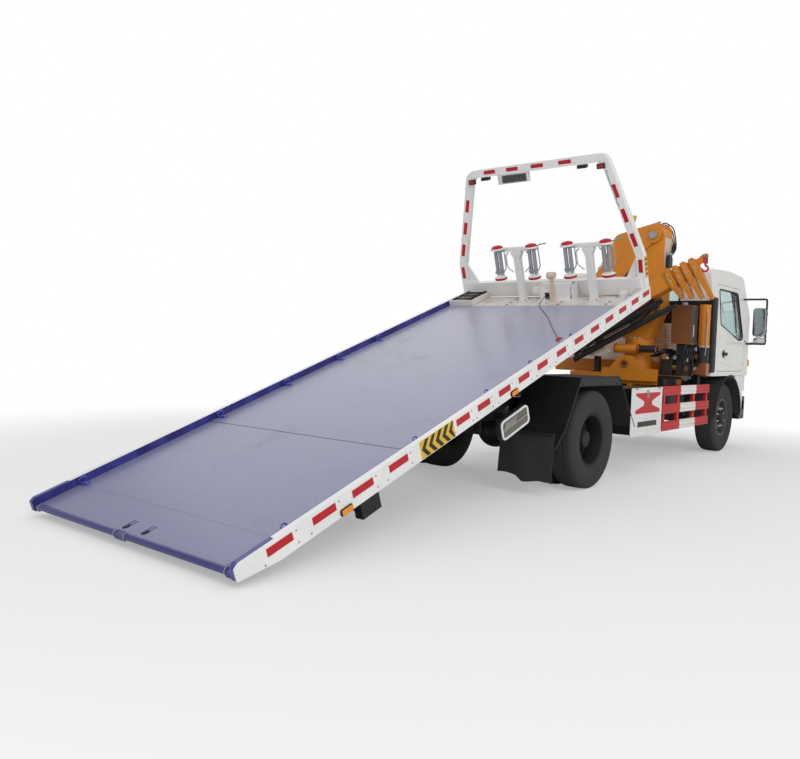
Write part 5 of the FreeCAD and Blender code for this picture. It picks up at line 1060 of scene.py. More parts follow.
def pressed_rail(x0, x1, z0, z1):
    """A guard rail's outer skin: a channel section with two rounded grooves, carried along x. At height t
    of 0 to 1 the face stands back by 8 mm x exp(-((t - 0.27) / 0.08)^2), by the same about 0.73, and by
    6 mm x exp(-(t / 0.05)^2) at each edge."""
    t = np.linspace(0, 1, 33)
    depth = 0.008 * (np.exp(-((t - 0.27) / 0.08) ** 2) + np.exp(-((t - 0.73) / 0.08) ** 2))
    depth += 0.006 * (np.exp(-(t / 0.05) ** 2) + np.exp(-((1 - t) / 0.05) ** 2))
    face_y = np.full(33, GUARD_Y + 0.006) - depth
    section = np.column_stack([np.concatenate([face_y, [GUARD_Y - 0.034, GUARD_Y - 0.034]]),
        np.concatenate([z0 - 0.003 + t * (z1 - z0 + 0.006), [z1 + 0.003, z0 - 0.003]])])
    rows = [np.column_stack([np.full(len(section), x), section]) for x in (x0, x1)]
    return surface(np.stack(rows), wrap_cols=True, caps=True)


class TRUCK_OT_side_guards(bpy.types.Operator):
    """Builds the banded side guards, and the white tool chests with their marks and locks"""

    bl_idname = "truck.side_guards"
    bl_label = "Side guards and chests"

    def execute(self, context):
        banded = {"mark_red": [], "mark_white": []}
        for x0, x1, paint in GUARD_BANDS:
            for z0, z1 in GUARD_Z:
                banded[paint].append(pressed_rail(x0 + 0.0005, x1 - 0.0005, z0, z1))
        for x0, x1 in GUARD_POSTS:
            banded["mark_red"].append(block((x0, GUARD_Y - 0.05, 0.482), (x1, GUARD_Y - 0.012, 1.035), 0.003))
        for paint, shapes in banded.items():
            piece("side_guard_" + paint[5:], shapes, paint, "chassis", ["side_guards"] if paint == "mark_red" else (),
                both=True)
        hangers = [block((x, 0.4305, z), (x + 0.06, GUARD_Y - 0.045, z + 0.05), 0.004)
            for x, z in ((1.947, 0.92), (2.62, 0.905), (3.533, 0.92))]
        piece("side_guard_hangers", hangers, "chassis_paint", "chassis", both=True)

        x0, x1, z0, z1 = 0.93, 1.857, 0.475, 1.035
        y = GUARD_Y
        skin = plate((x0, x1, z0, z1), -y - 0.003, -y + 0.004, 0.002, "xz", 0.006)
        frame_bars = [plate((x0, x1, z1 - 0.028, z1), -y - 0.007, -y, 0.002),
            plate((x0, x1, z0, z0 + 0.035), -y - 0.01, -y, 0.003),
            plate((x0 + 0.03, x1 - 0.03, z0 + 0.062, z0 + 0.074), -y - 0.007, -y, 0.002),
            plate((x0 + 0.06, x1 - 0.06, z0 + 0.198, z0 + 0.206), -y - 0.006, -y, 0.002)]
        piece("chest_fronts", [skin, *frame_bars], "mark_white", "chassis", both=True)
        waist = [(1.05, 0.735), (1.785, 0.735), (1.785, 0.775), (1.545, 0.828), (1.535, 0.872), (1.6, 0.895),
            (1.785, 0.945), (1.785, 0.975), (1.05, 0.975), (1.05, 0.945), (1.235, 0.895), (1.3, 0.872), (1.29, 0.828),
            (1.05, 0.775)]
        piece("chest_marks", slab(waist, -y - 0.0048, -y - 0.002, 0.0005), "mark_red", "chassis", both=True)
        piece("chest_plates", plate((1.127, 1.7, 0.578, 0.64), -y - 0.0055, -y - 0.002, 0.001, "xz", 0.006),
            "mark_black", "chassis", both=True)
        lock = joined(plate((1.368, 1.418, 0.915, 1.005), -y - 0.012, -y - 0.002, 0.003, "xz", 0.012),
            lathe([(0.002, -0.022), (0.012, -0.022), (0.016, -0.018), (0.016, -0.008), (0.002, -0.008)],
                (1.393, -y, 0.975), "y", 20),
            plate((1.381, 1.405, 0.925, 0.96), -y - 0.018, -y - 0.01, 0.002, "xz", 0.004))
        hinges = copies(disc(0.003, 0.008, -0.03, 0.03, (0, 0, 0), "x", 12),
            [(x, -y - 0.008, z1 - 0.01) for x in (1.05, 1.74)])
        piece("chest_locks", [lock, hinges], "galvanised", "chassis", both=True)
        return {"FINISHED"}


class TRUCK_OT_fenders(bpy.types.Operator):
    """Puts edge trims on the rear fenders and hangs the rubber mud flaps behind the wheels"""

    bl_idname = "truck.fenders"
    bl_label = "Fenders and mud flaps"

    def execute(self, context):
        edge = np.array([(-0.842, 0.475), (-0.64, 0.664), (-0.345, 1.15), (-0.318, 1.172), (0.56, 1.172),
            (0.59, 1.15), (1.048, 0.592)])
        line = np.column_stack([edge[:, 0], np.full(len(edge), -1.2), edge[:, 1]])
        trims = [tube(rounded_path(line, 0.03), 0.0075, 10)]
        for x, z in ((-0.3, 1.1), (0.12, 1.1), (0.52, 1.1)):
            trims.append(hexagon_heads([(x, -1.2, z)], "-y", 0.018, 0.008, 0.014))
        piece("fender_trims", trims, "flap_rubber", "chassis", both=True)

        y = np.linspace(-1.19, -0.59, 41)
        across = (y + 1.19) / 0.6
        low = 0.15 + 0.045 * np.clip((across - 0.52) / 0.12, 0, 1) + 0.012 * np.sin(across * 9.0)
        t = np.linspace(0, 1, 14)[:, None]
        z = 0.62 + (low - 0.62) * t
        bow = -0.845 - 0.03 * t * (1 - 0.4 * np.cos(across * 5.0)) - 0.006 * np.sin(across * 11 + t * 3)
        sheet = np.stack([bow, y + 0 * t, z], -1)
        back = sheet + (0.008, 0, 0)
        wrap = np.concatenate([sheet, back[::-1]])
        flap = surface(wrap, wrap_rows=True)
        rim_a, rim_b = wrap[:, 0], wrap[:, -1]
        caps = (np.concatenate([rim_a, rim_b]), [np.arange(28)[::-1][None], 28 + np.arange(28)[None]])
        bar = block((-0.858, -1.19, 0.6), (-0.838, -0.59, 0.635), 0.003)
        bolts = hexagon_heads([(-0.858, v, 0.617) for v in (-1.14, -0.99, -0.82, -0.66)], "-x", 0.02, 0.009, 0.015)
        piece("mud_flap_sheets", [flap, caps], "flap_rubber", "chassis", ["mud_flaps"], both=True)
        piece("mud_flap_bars", [bar, bolts], "chassis_paint", "chassis", both=True)
        return {"FINISHED"}


# ---------------------------------------------------------------- crane
def bundle(path, axis, pitch, count, radius, material, name, body):
    """Several equal hoses side by side: the path copied along an axis, with a metal sleeve at each end."""
    path = np.asarray(path, float)
    line = rounded_path(path, 0.12, 9)
    hose = tube(line, radius, 10)
    ends = []
    for tip, inner in ((path[0], path[1]), (path[-1], path[-2])):
        along = (inner - tip) / np.linalg.norm(inner - tip)
        ends.append(tube([tip - along * 0.004, tip + along * 0.045], radius * 1.45, 10))
        ends.append(tube([tip - along * 0.004, tip + along * 0.014], radius * 1.9, 6))
    offsets = (np.arange(count) - (count - 1) / 2)[:, None] * pitch * np.asarray(axis, float)
    piece(name, copies(hose, offsets), material, body)
    piece(name + "_sleeves", copies(joined(*ends), offsets), "galvanised", body)


class TRUCK_OT_crane_base(bpy.types.Operator):
    """Dresses the crane's foot: boss, cylinder sleeve, tank strap, valves, lines, levers, canister and intake cover
    """

    bl_idname = "truck.crane_base"
    bl_label = "Crane base"

    def execute(self, context):
        body = "chassis"
        boss_at = (0, -0.33, 1.29)
        boss = [(0.024, 2.6985), (0.052, 2.6985), (0.056, 2.703), (0.056, 2.712), (0.024, 2.712)]
        pin = [(0.004, 2.6966), (0.0225, 2.6966), (0.0235, 2.6975), (0.0235, 2.7), (0.004, 2.7)]
        piece("base_boss", lathe(boss, boss_at, "x", 28), "rusty_yellow_paint", body)
        # Painted shade: a black disc fills the boss's opening and stands for the shade inside its hole.
        piece("base_boss_hole_shade", lathe(pin, boss_at, "x", 24), "mark_black", body)
        # Painted shade: thin black sheets over the base plate's faces under the crane base.
        piece("base_plate_edges", blocks(0.001, (2.7765, 3.14, -1.103, -1.1003, 1.108, 1.149),
            (2.7765, 2.7797, -1.1, -0.86, 1.108, 1.149), (2.7765, 3.258, -0.863, -0.8603, 1.011, 1.108),
            (2.7765, 2.7797, -0.86, -0.782, 1.011, 1.149)), "chassis_paint", body)

        a = circle(16)
        piece("slew_ring_bolts", hexagon_heads(np.column_stack([3.02 + 0.168 * np.cos(a), -0.4 + 0.168 * np.sin(a),
            np.full(16, 1.64)]), "z", 0.026, 0.016, 0.018), "galvanised", "crane_column")
        sleeve = lathe([(0.02, -0.52), (0.05, -0.52), (0.05, -0.745), (0.046, -0.7615), (0.02, -0.7615)],
            (2.766, 0, 1.497), "y", 28)
        caps = [disc(0.02, 0.066, y - 0.012, y + 0.012, (2.766, 0, 1.497), "y", 28) for y in (-0.174, -0.498)]
        piece("slew_sleeve", flipped(sleeve), "cylinder_black", body)
        # The collars take the darker crane paint: painted shade.
        piece("slew_collars", caps, "crane_shade_paint", body)

        piece("slew_gusset", slab([(0.245, 1.385), (0.02, 1.375), (-0.13, 1.455), (0.01, 1.52)], 2.73, 2.744, 0.002,
            "yz"), "canister_cream", body)
        piece("rest_post_cover", [*blocks(0.004, (2.962, 3.038, 0.162, 0.238, 1.15, 1.652),
            (2.942, 3.058, 0.147, 0.253, 1.606, 1.654)), block((2.942, 0.147, 1.15), (3.058, 0.253, 1.168), 0.003)],
            "chassis_paint", body)

        piece("canister", [block((3.358, -0.642, 1.458), (3.492, -0.488, 1.874), 0.01, 0.02),
            *[block((3.35, -0.65, z), (3.5, -0.48, z + 0.05), 0.01, 0.02) for z in np.arange(1.468, 1.85, 0.08)]],
            "canister_cream", body)

        piece("tank_straps", blocks(0.002, (3.085, 3.125, -1.154, -0.881, 1.588, 2.103),
            (2.915, 2.935, -1.154, -0.881, 1.588, 2.103)), "cylinder_black", body)
        # Painted shade: a thin darker orange sheet on the tank's back face.
        piece("tank_back", block((2.8965, -1.149, 1.588), (2.9005, -0.887, 2.098), 0.001), "tank_shade_paint", body)
        # Painted shade: a black sheet over the tank's side face and a black block in the gap beneath the tank.
        piece("tank_side", [block((2.902, -1.1525, 1.59), (3.138, -1.1495, 2.095), 0.001),
            block((2.952, -1.068, 1.152), (3.088, -0.952, 1.583), 0.006)], "chassis_paint", body)
        cap = lathe([(0.01, 2.098), (0.042, 2.098), (0.042, 2.128), (0.03, 2.142), (0.006, 2.142)], (2.995, -1.02, 0),
            "z", 24)
        gauge = block((2.982, -1.156, 1.68), (3.008, -1.148, 1.84), 0.002)
        piece("tank_cap", cap, "galvanised", body)
        piece("tank_gauge", gauge, "lens_clear", body)

        stack = [block((3.486, -1.262, 1.2), (3.645, -1.184, 2.25), 0.016, 0.03)]
        stack += blocks(0.004, *((3.482, 3.649, -1.266, -1.18, z, z + 0.016) for z in (1.44, 1.8, 2.2)),
            round_off=0.03)
        piece("intake_stack_cover", stack, "black_plastic", body)

        iron, brass = [], []
        for x, y, z, w, d, h in ((3.02, -0.98, 1.15, 0.14, 0.1, 0.2), (3.19, -1.02, 1.33, 0.1, 0.16, 0.17),
            (3.22, -0.83, 1.33, 0.09, 0.12, 0.14), (2.94, -0.84, 1.15, 0.11, 0.16, 0.22)):
            iron.append(block((x - w / 2, y - d / 2, z), (x + w / 2, y + d / 2, z + h), 0.01, 0.012))
            for k in range(3):
                top = (x - w * 0.3 + w * 0.3 * k, y, 0)
                brass.append(lathe([(0.004, z + h - 0.002), (0.011, z + h - 0.002), (0.011, z + h + 0.022),
                    (0.007, z + h + 0.03), (0.002, z + h + 0.03)], top, "z", 6))
            brass.append(lathe([(0.01, -d / 2 - 0.05), (w * 0.32, -d / 2 - 0.05), (w * 0.34, -d / 2 + 0.004),
                (0.01, -d / 2 + 0.004)], (x, y, z + h * 0.5), "y", 16))
        piece("valve_blocks", iron, "cast_iron", body)
        piece("valve_fittings", brass, "brass_fittings", body)
        for k, (x, y, z, reach) in enumerate(((3.01, -1.07, 1.35, -0.06), (3.18, -1.12, 1.5, -0.05),
            (2.93, -0.93, 1.38, -0.12), (3.2, -0.9, 1.48, -0.02))):
            path = [(x, y, z), (x, y + reach * 0.3, z + 0.09), (x + 0.05, y + reach, z + 0.02),
                (x + 0.08, y + reach, z - 0.16), (x + 0.05, y + 0.03, z - 0.26)]
            bundle(path, (0.6, 0.8, 0), 0.028, 2, 0.01, "hose_rubber", "base_hoses_%d" % k, body)
        dark = [block((2.985, -1.045, 1.152), (3.265, -0.905, 1.3), 0.008, 0.012)]
        for k in range(7):
            x = 2.995 + 0.042 * k
            dark.append(block((x, -1.062, 1.18), (x + 0.026, -0.93, 1.345), 0.004, 0.006))
        piece("valve_bank", dark, "cylinder_black", body)
        lines = []
        for k in range(9):
            x, out = 2.975 + 0.034 * k, 0.02 * (k % 3)
            lines.append(tube(rounded_path([(x, -1.0, 1.33), (x, -1.075 - out, 1.4), (x + 0.03, -1.09 - out, 1.5),
                (x + 0.01, -1.01, 1.592)], 0.05, 7), 0.0095, 9))
            lines.append(tube(rounded_path([(x, -0.88, 1.2), (x, -0.86, 1.42 + out), (x - 0.12, -0.8, 1.48 + out),
                (x - 0.16, -0.64, 1.4)], 0.06, 7), 0.009, 9))
        piece("valve_lines", lines, "hose_rubber", body)
        levers = []
        for k in range(6):
            x = 3.15 + 0.035 * k
            levers.append(tube([(x, -1.06, 1.5), (x, -1.12, 1.6)], 0.006, 8))
            levers.append(lathe([(0.002, -0.012), (0.01, -0.008), (0.012, 0), (0.01, 0.008), (0.002, 0.012)],
                (x, -1.125, 1.607), "z", 12))
        piece("control_levers", levers, "cylinder_black", body)
        return {"FINISHED"}


class TRUCK_OT_outriggers(bpy.types.Operator):
    """Adds collars, a pale band, the dark sleeve, the rusty housing, a pipe and the foot to both outrigger legs"""

    bl_idname = "truck.outriggers"
    bl_label = "Outriggers"

    def execute(self, context):
        x, y = 3.345, 1.18
        for side, label in SIDES:
            body = "outrigger_" + label
            collars = [disc(0.05, 0.0755, z, z + 0.028, (x, y, 0), "z", 32) for z in (1.566, 1.93, 2.096)]
            collars.append(lathe([(0.003, 2.118), (0.045, 2.118), (0.052, 2.128), (0.003, 2.134)], (x, y, 0), "z",
                24))
            housing = block((x - 0.075, y - 0.075, 1.17), (x + 0.075, y + 0.07, 1.33), 0.006)
            pipe = tube(rounded_path([(x - 0.055, y + 0.045, 2.09), (x - 0.075, y + 0.06, 2.02),
                (x - 0.075, y + 0.055, 1.5), (x - 0.05, y + 0.035, 1.42)], 0.04), 0.008, 8)
            foot = lathe([(0.01, 1.1435), (0.0625, 1.1435), (0.064, 1.15), (0.0625, 1.166), (0.01, 1.168)], (x, y, 0),
                "z")
            for name, shape, material in (
                    ("sleeve", disc(0.05, 0.076, 1.332, 1.548, (x, y, 0), "z"), "chassis_paint"),
                    ("collars", joined(*collars), "crane_paint"),
                    ("band", disc(0.05, 0.077, 1.548, 1.566, (x, y, 0), "z"), "canister_cream"),
                    ("housing", housing, "rusty_yellow_paint"), ("pipe", pipe, "galvanised")):
                piece("leg_%s_%s" % (name, label), on_side(shape, side), material, body)
            piece("leg_foot_" + label, on_side(foot, side), "chassis_paint", "outrigger_leg_" + label)
        return {"FINISHED"}


BOOM_SLOPE = radians(28.5)
ELBOW = (2.69, 0.7, 1.53)


def at_boom(shape):
    """(along, across, up) of the outer boom to the truck: y = 0.7 - a cos + u sin, z = 1.53 + a sin + u cos."""
    verts, faces = shape
    a, b, u = verts[:, 0], verts[:, 1], verts[:, 2]
    x = REAR_AXLE_X + ELBOW[0] + b
    y = ELBOW[1] - a * cos(BOOM_SLOPE) + u * sin(BOOM_SLOPE)
    z = ELBOW[2] + a * sin(BOOM_SLOPE) + u * cos(BOOM_SLOPE)
    return np.column_stack([x, y, z]), faces


class TRUCK_OT_booms(bpy.types.Operator):
    """Adds pins, bolts, plates, hoses and the valve to the column and the booms"""

    bl_idname = "truck.booms"
    bl_label = "Booms"

    def execute(self, context):
        x0, x1 = 2.87, 3.17
        pins = [lathe([(0.004, min(0, grow)), (0.052, min(0, grow)), (0.056, 0), (0.052, abs(grow)),
            (0.004, abs(grow))], (x, -0.6, 3.05), "x", 28) for x, grow in ((x0 - 0.06, -0.006), (x1 + 0.06, 0.006))]
        piece("luff_pin_caps", pins, "galvanised", "crane_column")

        piece("column_pale_strip", block((2.905, -0.7435, 2.62), (3.135, -0.7395, 3.02), 0.001), "canister_cream",
            "crane_column")
        piece("column_valve", [block((2.945, -0.795, 2.62), (3.075, -0.74, 2.76), 0.006),
            block((2.96, -0.79, 2.75), (3.06, -0.748, 2.79), 0.004)], "cylinder_black", "crane_column")
        hoses, ends = [], []
        inner = np.array([(3.235, -0.52, 3.15), (3.24, -0.565, 3.215), (3.245, -0.655, 3.13), (3.238, -0.716, 2.96),
            (3.12, -0.766, 2.862), (2.965, -0.758, 2.785)])
        outer = np.array([(3.235, -0.5, 3.19), (3.24, -0.575, 3.29), (3.252, -0.72, 3.2), (3.245, -0.765, 3.0),
            (3.14, -0.806, 2.868), (3.06, -0.779, 2.785)])
        for k in range(4):
            line = inner + (outer - inner) * k / 3
            hoses.append(tube(rounded_path(line, 0.07, 9), 0.0085, 10))
            foot = line[-1]
            ends.append(tube([foot + (0, 0, 0.04), foot + (0, 0, -0.002)], 0.0125, 10))
        piece("peak_hoses", hoses, "hose_rubber", "crane_column")
        piece("peak_hose_ends", ends, "galvanised", "crane_column")
        back = [(3.19, -0.56, 2.95), (3.2, -0.56, 2.6), (3.2, -0.6, 2.2), (3.19, -0.52, 1.78), (3.12, -0.45, 1.66)]
        bundle(back, (0, 1, 0), 0.034, 3, 0.01, "hose_rubber", "column_hoses", "crane_column")

        side_x = x0 - 0.004 - 0.025
        body = "inner_boom"
        bosses = []
        for y, z, r in ((-0.31, 2.65, 0.075), (0.18, 2.33, 0.045), (-0.6, 3.05, 0.105)):
            for x, thick in ((side_x - 0.01, 0.014), (x1 + 0.025, 0.014)):
                bosses.append(disc(0.03 if r > 0.1 else 0.004, r, 0, thick, (x, y, z), "x", 32))
        piece("boom_bosses", bosses, "crane_paint", body)
        # Painted shade: a bead in the darker crane paint along the inner boom's lower edge stands for the shadow line
        # there.
        edge = np.array([(-0.69, 3.225), (-0.06, 3.075), (0.25, 2.47), (0.48, 2.12)])
        for k, x in enumerate((x0 - 0.004 - 0.0125, x1 + 0.004 + 0.0125)):
            line = np.column_stack([np.full(4, x), edge[:, 0], edge[:, 1]])
            piece("boom_edge_shade_bead_%d" % k, tube(rounded_path(line, 0.06), 0.01, 8), "crane_shade_paint", body)
        piece("boom_tab", slab([(-0.35, 3.335), (-0.235, 3.345), (-0.262, 3.2), (-0.285, 3.095), (-0.3, 3.1)],
            x0 - 0.028, x0 - 0.018, 0.001, "yz"), "tab_yellow", body)
        for k, x in enumerate((2.925, 3.115)):
            rods, collars = [], []
            a, b = np.array((x, 0.18, 1.886)), np.array((x, 0.48, 1.418))
            along = (b - a) / np.linalg.norm(b - a)
            rods.append(tube([a + along * 0.004, b - along * 0.01], 0.0306, 20))
            collars.append(tube([a - along * 0.045, a + along * 0.004], 0.056, 20))
            low = np.array((x, -0.31, 2.65)) + along * 0.05
            collars.append(tube([low, low + along * 0.04], 0.056, 20))
            piece("knuckle_rod_%d" % k, rods, "rod_steel", body)
            piece("knuckle_collar_%d" % k, collars, "cylinder_black", body)
            piece("knuckle_pipe_%d" % k, tube([low + (0.0, 0.055, 0.03), a - along * 0.06 + (0.0, 0.055, 0.03)],
                0.009, 8), "galvanised", body)

        caps = [disc(0.004, r, 0, 0.012, (ELBOW[0] - 0.162 - 0.012 * k, *ELBOW[1:]), "x", 28)
            for k, r in enumerate((0.075, 0.048))]
        piece("elbow_pin_caps", caps, "galvanised", body)
        self.sections()
        return {"FINISHED"}

    def sections(self):
        """Bolts on the four collars, the bright fittings and lines of the extension cylinders."""
        sizes = [(1.88, 0.24, 0.205, "outer_boom")]
        for step, reach in ((1, 0.11), (2, 0.22), (3, 0.33)):
            nest = 2 * step * 0.0083
            sizes.append((1.9 + reach - 0.0175, 0.24 - nest, 0.205 - nest, "boom_section_%d" % step))
        for k, (along, wide, deep, body) in enumerate(sizes):
            bolts = [hexagon_heads([(along, side * (wide / 2 + 0.03), up * deep) for up in (-0.25, 0.25)], axis,
                0.028, 0.014, 0.018) for side, axis in ((1, "y"), (-1, "-y"))]
            drop = -deep / 2 - 0.06
            tongue = [disc(0.003, 0.02, 0, 0.006, (along + 0.0175, 0, drop - 0.05 * n), "x", 16) for n in range(2)]
            piece("collar_bolts_%d" % k, bolts + tongue, "bright_steel", body, at=at_boom)
            tip = deep / 2 + 0.18 + 0.075 * k
            leaf = outline([(along - 0.03, deep / 2 + 0.022, 0.02), (along + 0.045, deep / 2 + 0.022, 0.02),
                (along + 0.056, -deep / 2 - 0.04, 0.08), (along + 0.034, -tip - 0.004, 0.022),
                (along - 0.01, -tip - 0.004, 0.022), (along - 0.03, -deep / 2 - 0.04, 0.08)], 6)
            verts, faces = slab(leaf, -0.006, 0.0, 0.0015)
            lean = np.clip((-deep / 2 - 0.03 - verts[:, 2]) / (tip - deep / 2 - 0.03), 0, 1)
            verts = verts + np.column_stack([0 * lean, lean * (wide / 2 - 0.015) - wide / 2 - 0.0305, 0 * lean])
            piece("collar_leaf_%d" % k, (verts, faces), "crane_paint", body, at=at_boom)
        under = -0.1028
        bright, black = [], []
        for drop, radius, start, end in ((0.08, 0.054, 0.13, 1.56), (0.222, 0.036, 0.15, 1.7)):
            for a, b, grow in ((start - 0.002, start + 0.05, 0.006), (end - 0.06, end + 0.002, 0.007)):
                black.append(disc(0.01, radius + grow, a, b, (0, 0, under - drop), "x", 24))
            bright.append(disc(0.01, radius * 0.57, end + 0.001, end + 0.079, (0, 0, under - drop), "x", 20))
        for a, b in ((0.78, 0.98), (1.02, 1.1)):
            bright.append(tube([(a, -0.045, under - 0.25), (b, -0.045, under - 0.25)], 0.012, 10))
        for y in (-0.06, 0.05):
            black.append(tube(rounded_path([(0.2, y, under - 0.15), (0.3, y * 1.1, under - 0.165),
                (1.25, y * 1.1, under - 0.165), (1.42, y * 0.8, under - 0.12)], 0.08), 0.011, 10))
        piece("extension_collars", black, "cylinder_black", "outer_boom", at=at_boom)
        piece("extension_rods", bright, "cylinder_black", "outer_boom", at=at_boom)


class TRUCK_OT_crane_hook(bpy.types.Operator):
    """Forges the crane's hook: cheeks, swivel, a bowl that thins to its point, and a latch"""

    bl_idname = "truck.crane_hook"
    bl_label = "Crane hook"

    def execute(self, context):
        low, high = node_box("crane_hook")
        x, top = (low[0] + high[0]) / 2, high[2]
        y = (low[1] + high[1]) / 2
        centre = np.array([x, y, low[2] + 0.048])
        a = np.radians(np.linspace(100, -190, 40))
        t = np.linspace(0, 1, 40)
        thick = 0.0135 * (1 - 0.45 * t ** 3)
        bowl = np.column_stack([np.full(40, centre[0]), centre[1] - 0.036 * np.cos(a), centre[2] + 0.036 * np.sin(a)])
        shank = np.array([(x, y, top - 0.112), (x, y, centre[2] + 0.04)])
        parts = [tube(bowl, thick, 12), tube(shank, 0.0145, 14)]
        parts.append(block((x - 0.033, y - 0.021, top - 0.12), (x + 0.033, y + 0.021, top - 0.098), 0.003))
        cheek = outline([(y - 0.021, top - 0.118, 0.004), (y - 0.021, top, 0.018), (y + 0.021, top, 0.018),
            (y + 0.021, top - 0.118, 0.004)])
        for at in (x - 0.026, x + 0.026):
            parts.append(slab(cheek, at - 0.0065, at + 0.0065, 0.002, "yz"))
        piece("crane_hook_body", parts, "hook_red", "crane_hook", ["crane_hook"], at=as_it_is)
        latch = tube([(x, y + 0.004, centre[2] + 0.05), (x, y - 0.03, centre[2] + 0.012)], 0.004, 8)
        pin = lathe([(0.003, x - 0.044), (0.016, x - 0.044), (0.016, x - 0.034), (0.013, x - 0.034),
            (0.013, x + 0.034), (0.016, x + 0.034), (0.016, x + 0.044), (0.003, x + 0.044)], (0, y, top - 0.02), "x",
            18)
        piece("crane_hook_latch", joined(latch, pin), "galvanised", "crane_hook", at=as_it_is)
        return {"FINISHED"}


# ---------------------------------------------------------------- winch and its rope
ROPE_N = -0.0577
ROPE_ROUTE = (  # s, y, n from the drum to the hook, in the bed's frame
    (5.9276, -0.12, 0.029), (5.842, -0.113, -0.002), (5.757, -0.11, -0.029), (5.668, -0.124, -0.048),
    (5.562, -0.188, ROPE_N), (5.44, -0.285, ROPE_N), (5.318, -0.383, ROPE_N), (5.192, -0.481, ROPE_N),
    (5.061, -0.575, ROPE_N), (4.927, -0.664, ROPE_N), (4.792, -0.753, ROPE_N), (4.658, -0.844, ROPE_N),
    (4.528, -0.94, ROPE_N), (4.448, -1.001, ROPE_N))


class TRUCK_OT_winch(bpy.types.Operator):
    """Winds the winch drum, lays its rope down the deck and puts the hook on the rope's end"""

    bl_idname = "truck.winch"
    bl_label = "Winch, rope and hook"

    def execute(self, context):
        deck = DECK_N + 0.0005
        piece("drum_turns", [ring_bar((5.99, -0.395 + 0.0108 * k, 0.0293), (0, 1, 0), 0.0605, 0.0052, 28)
            for k in range(34)], "wire_rope", "bed")
        flanges = [disc(0.02, 0.086, y, y + 0.008, (5.99, 0, 0.0293), "y", 36) for y in (-0.412, -0.028)]
        piece("winch_flanges", [*flanges, lathe([(0.01, 0.0), (0.055, 0.0), (0.055, 0.1), (0.038, 0.12),
            (0.01, 0.12)], (5.99, 0.0, 0.0293), "y", 28)], "white_paint", "bed")
        bend = np.radians(np.linspace(178, -38, 30))
        ring = np.concatenate([np.column_stack([np.cos(bend), np.sin(bend)]) * 0.101,
            np.column_stack([np.cos(bend[::-1]), np.sin(bend[::-1])]) * 0.0955]) + (5.99, 0.0293)
        hood = joined(slab(ring[::-1], -0.418, -0.022, 0.0008), block((5.8885, -0.418, deck), (5.8935, -0.15, 0.04),
            0.001), block((5.8885, -0.086, deck), (5.8935, -0.022, 0.04), 0.001))
        piece("winch_hood", hood, "white_paint", "bed")
        head = joined(lathe([(0.006, -0.262), (0.034, -0.262), (0.041, -0.252), (0.041, -0.168), (0.034, -0.158),
            (0.006, -0.158)], (5.875, 0, 0.245), "y", 32), block((5.854, -0.229, -0.06), (5.896, -0.191, 0.235),
            0.004), block((5.835, -0.25, deck), (5.915, -0.17, DECK_N + 0.014), 0.003))
        piece("fairlead_head", head, "canister_cream", "bed")

        piece("strap_winch_cover", block((5.662, 0.828, deck), (6.108, 1.19, 0.006), 0.006, 0.012),
            "front_plate_paint", "bed")
        slots, bars = [], []
        for k in range(3):
            s = 5.68 + 0.14 * k
            slots.append(block((s, 0.848, 0.0035), (s + 0.128, 1.172, 0.0075), 0.001, 0.012))
            for side_y in (0.885, 1.135):
                bars.append(tube([(s + 0.01, side_y, 0.013), (s + 0.118, side_y, 0.013)], 0.01, 12))
            bars.append(disc(0.004, 0.024, 0.88, 1.14, (s + 0.064, 0, -0.009), "y", 20))
        piece("strap_winch_wells", slots, "mark_black", "bed")
        piece("strap_winch_bars", bars, "cast_iron", "bed")
        bracket = joined(block((5.74, -1.19, deck), (5.85, -1.06, DECK_N + 0.008), 0.002),
            block((5.76, -1.15, DECK_N + 0.006), (5.772, -1.09, 0.055), 0.003),
            block((5.818, -1.15, DECK_N + 0.006), (5.83, -1.09, 0.055), 0.003),
            tube([(5.752, -1.12, 0.03), (5.838, -1.12, 0.03)], 0.011, 14))
        piece("hook_rest", bracket, "white_paint", "bed")

        curve = bpy.data.curves.new("winch_line", "CURVE")
        curve.dimensions = "3D"
        spline = curve.splines.new("NURBS")
        spline.points.add(len(ROPE_ROUTE) - 1)
        route = np.column_stack([bed(np.array(ROPE_ROUTE)), np.ones(len(ROPE_ROUTE))])
        spline.points.foreach_set("co", route.ravel())
        spline.order_u = 3
        spline.use_endpoint_u = True
        curve.bevel_depth = 0.005
        curve.bevel_resolution = 4
        curve.use_fill_caps = True
        curve.resolution_u = 8
        curve.materials.append(bpy.data.materials["wire_rope"])
        line = bpy.data.objects.new("winch_line", curve)
        context.scene.collection.objects.link(line)
        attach(line, "bed")
        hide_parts("winch_rope")

        s0, y0, _ = ROPE_ROUTE[-2]
        s1, y1, _ = ROPE_ROUTE[-1]
        along = np.array([s1 - s0, y1 - y0]) / hypot(s1 - s0, y1 - y0)
        up = ROPE_N + 0.006
        across = np.array([-along[1], along[0]])

        def flat(points):
            """(u along the rope, v across it) to the bed's frame, lying on the deck."""
            uv = np.asarray(points, float)
            place = np.array([s1, y1]) + uv[:, :1] * along + uv[:, 1:] * across
            return np.column_stack([place, np.full(len(uv), up)])

        a = np.radians(np.linspace(170, -70, 36))
        t = np.linspace(0, 1, 36)
        bowl = tube(flat(np.column_stack([0.072 - 0.03 * np.cos(a), -0.03 * np.sin(a)])), 0.0105 * (1 - 0.4 * t ** 3),
            12)
        shank = tube(flat([(0.0005, 0), (0.012, 0), (0.04, 0)]), [0.008, 0.011, 0.0105], 14)
        hook = piece("winch_hook_body", [bowl, shank], "hook_red", "bed", ["winch_hook"])
        return {"FINISHED"}


# ---------------------------------------------------------------- cab
SIDE_WINDOW = ((4.01, 1.89, 0.06), (4.01, 2.4, 0.06), (4.89, 2.4, 0.07), (5.08, 1.7, 0.06), (4.86, 1.69, 0.04))
ARCH_R = 0.646


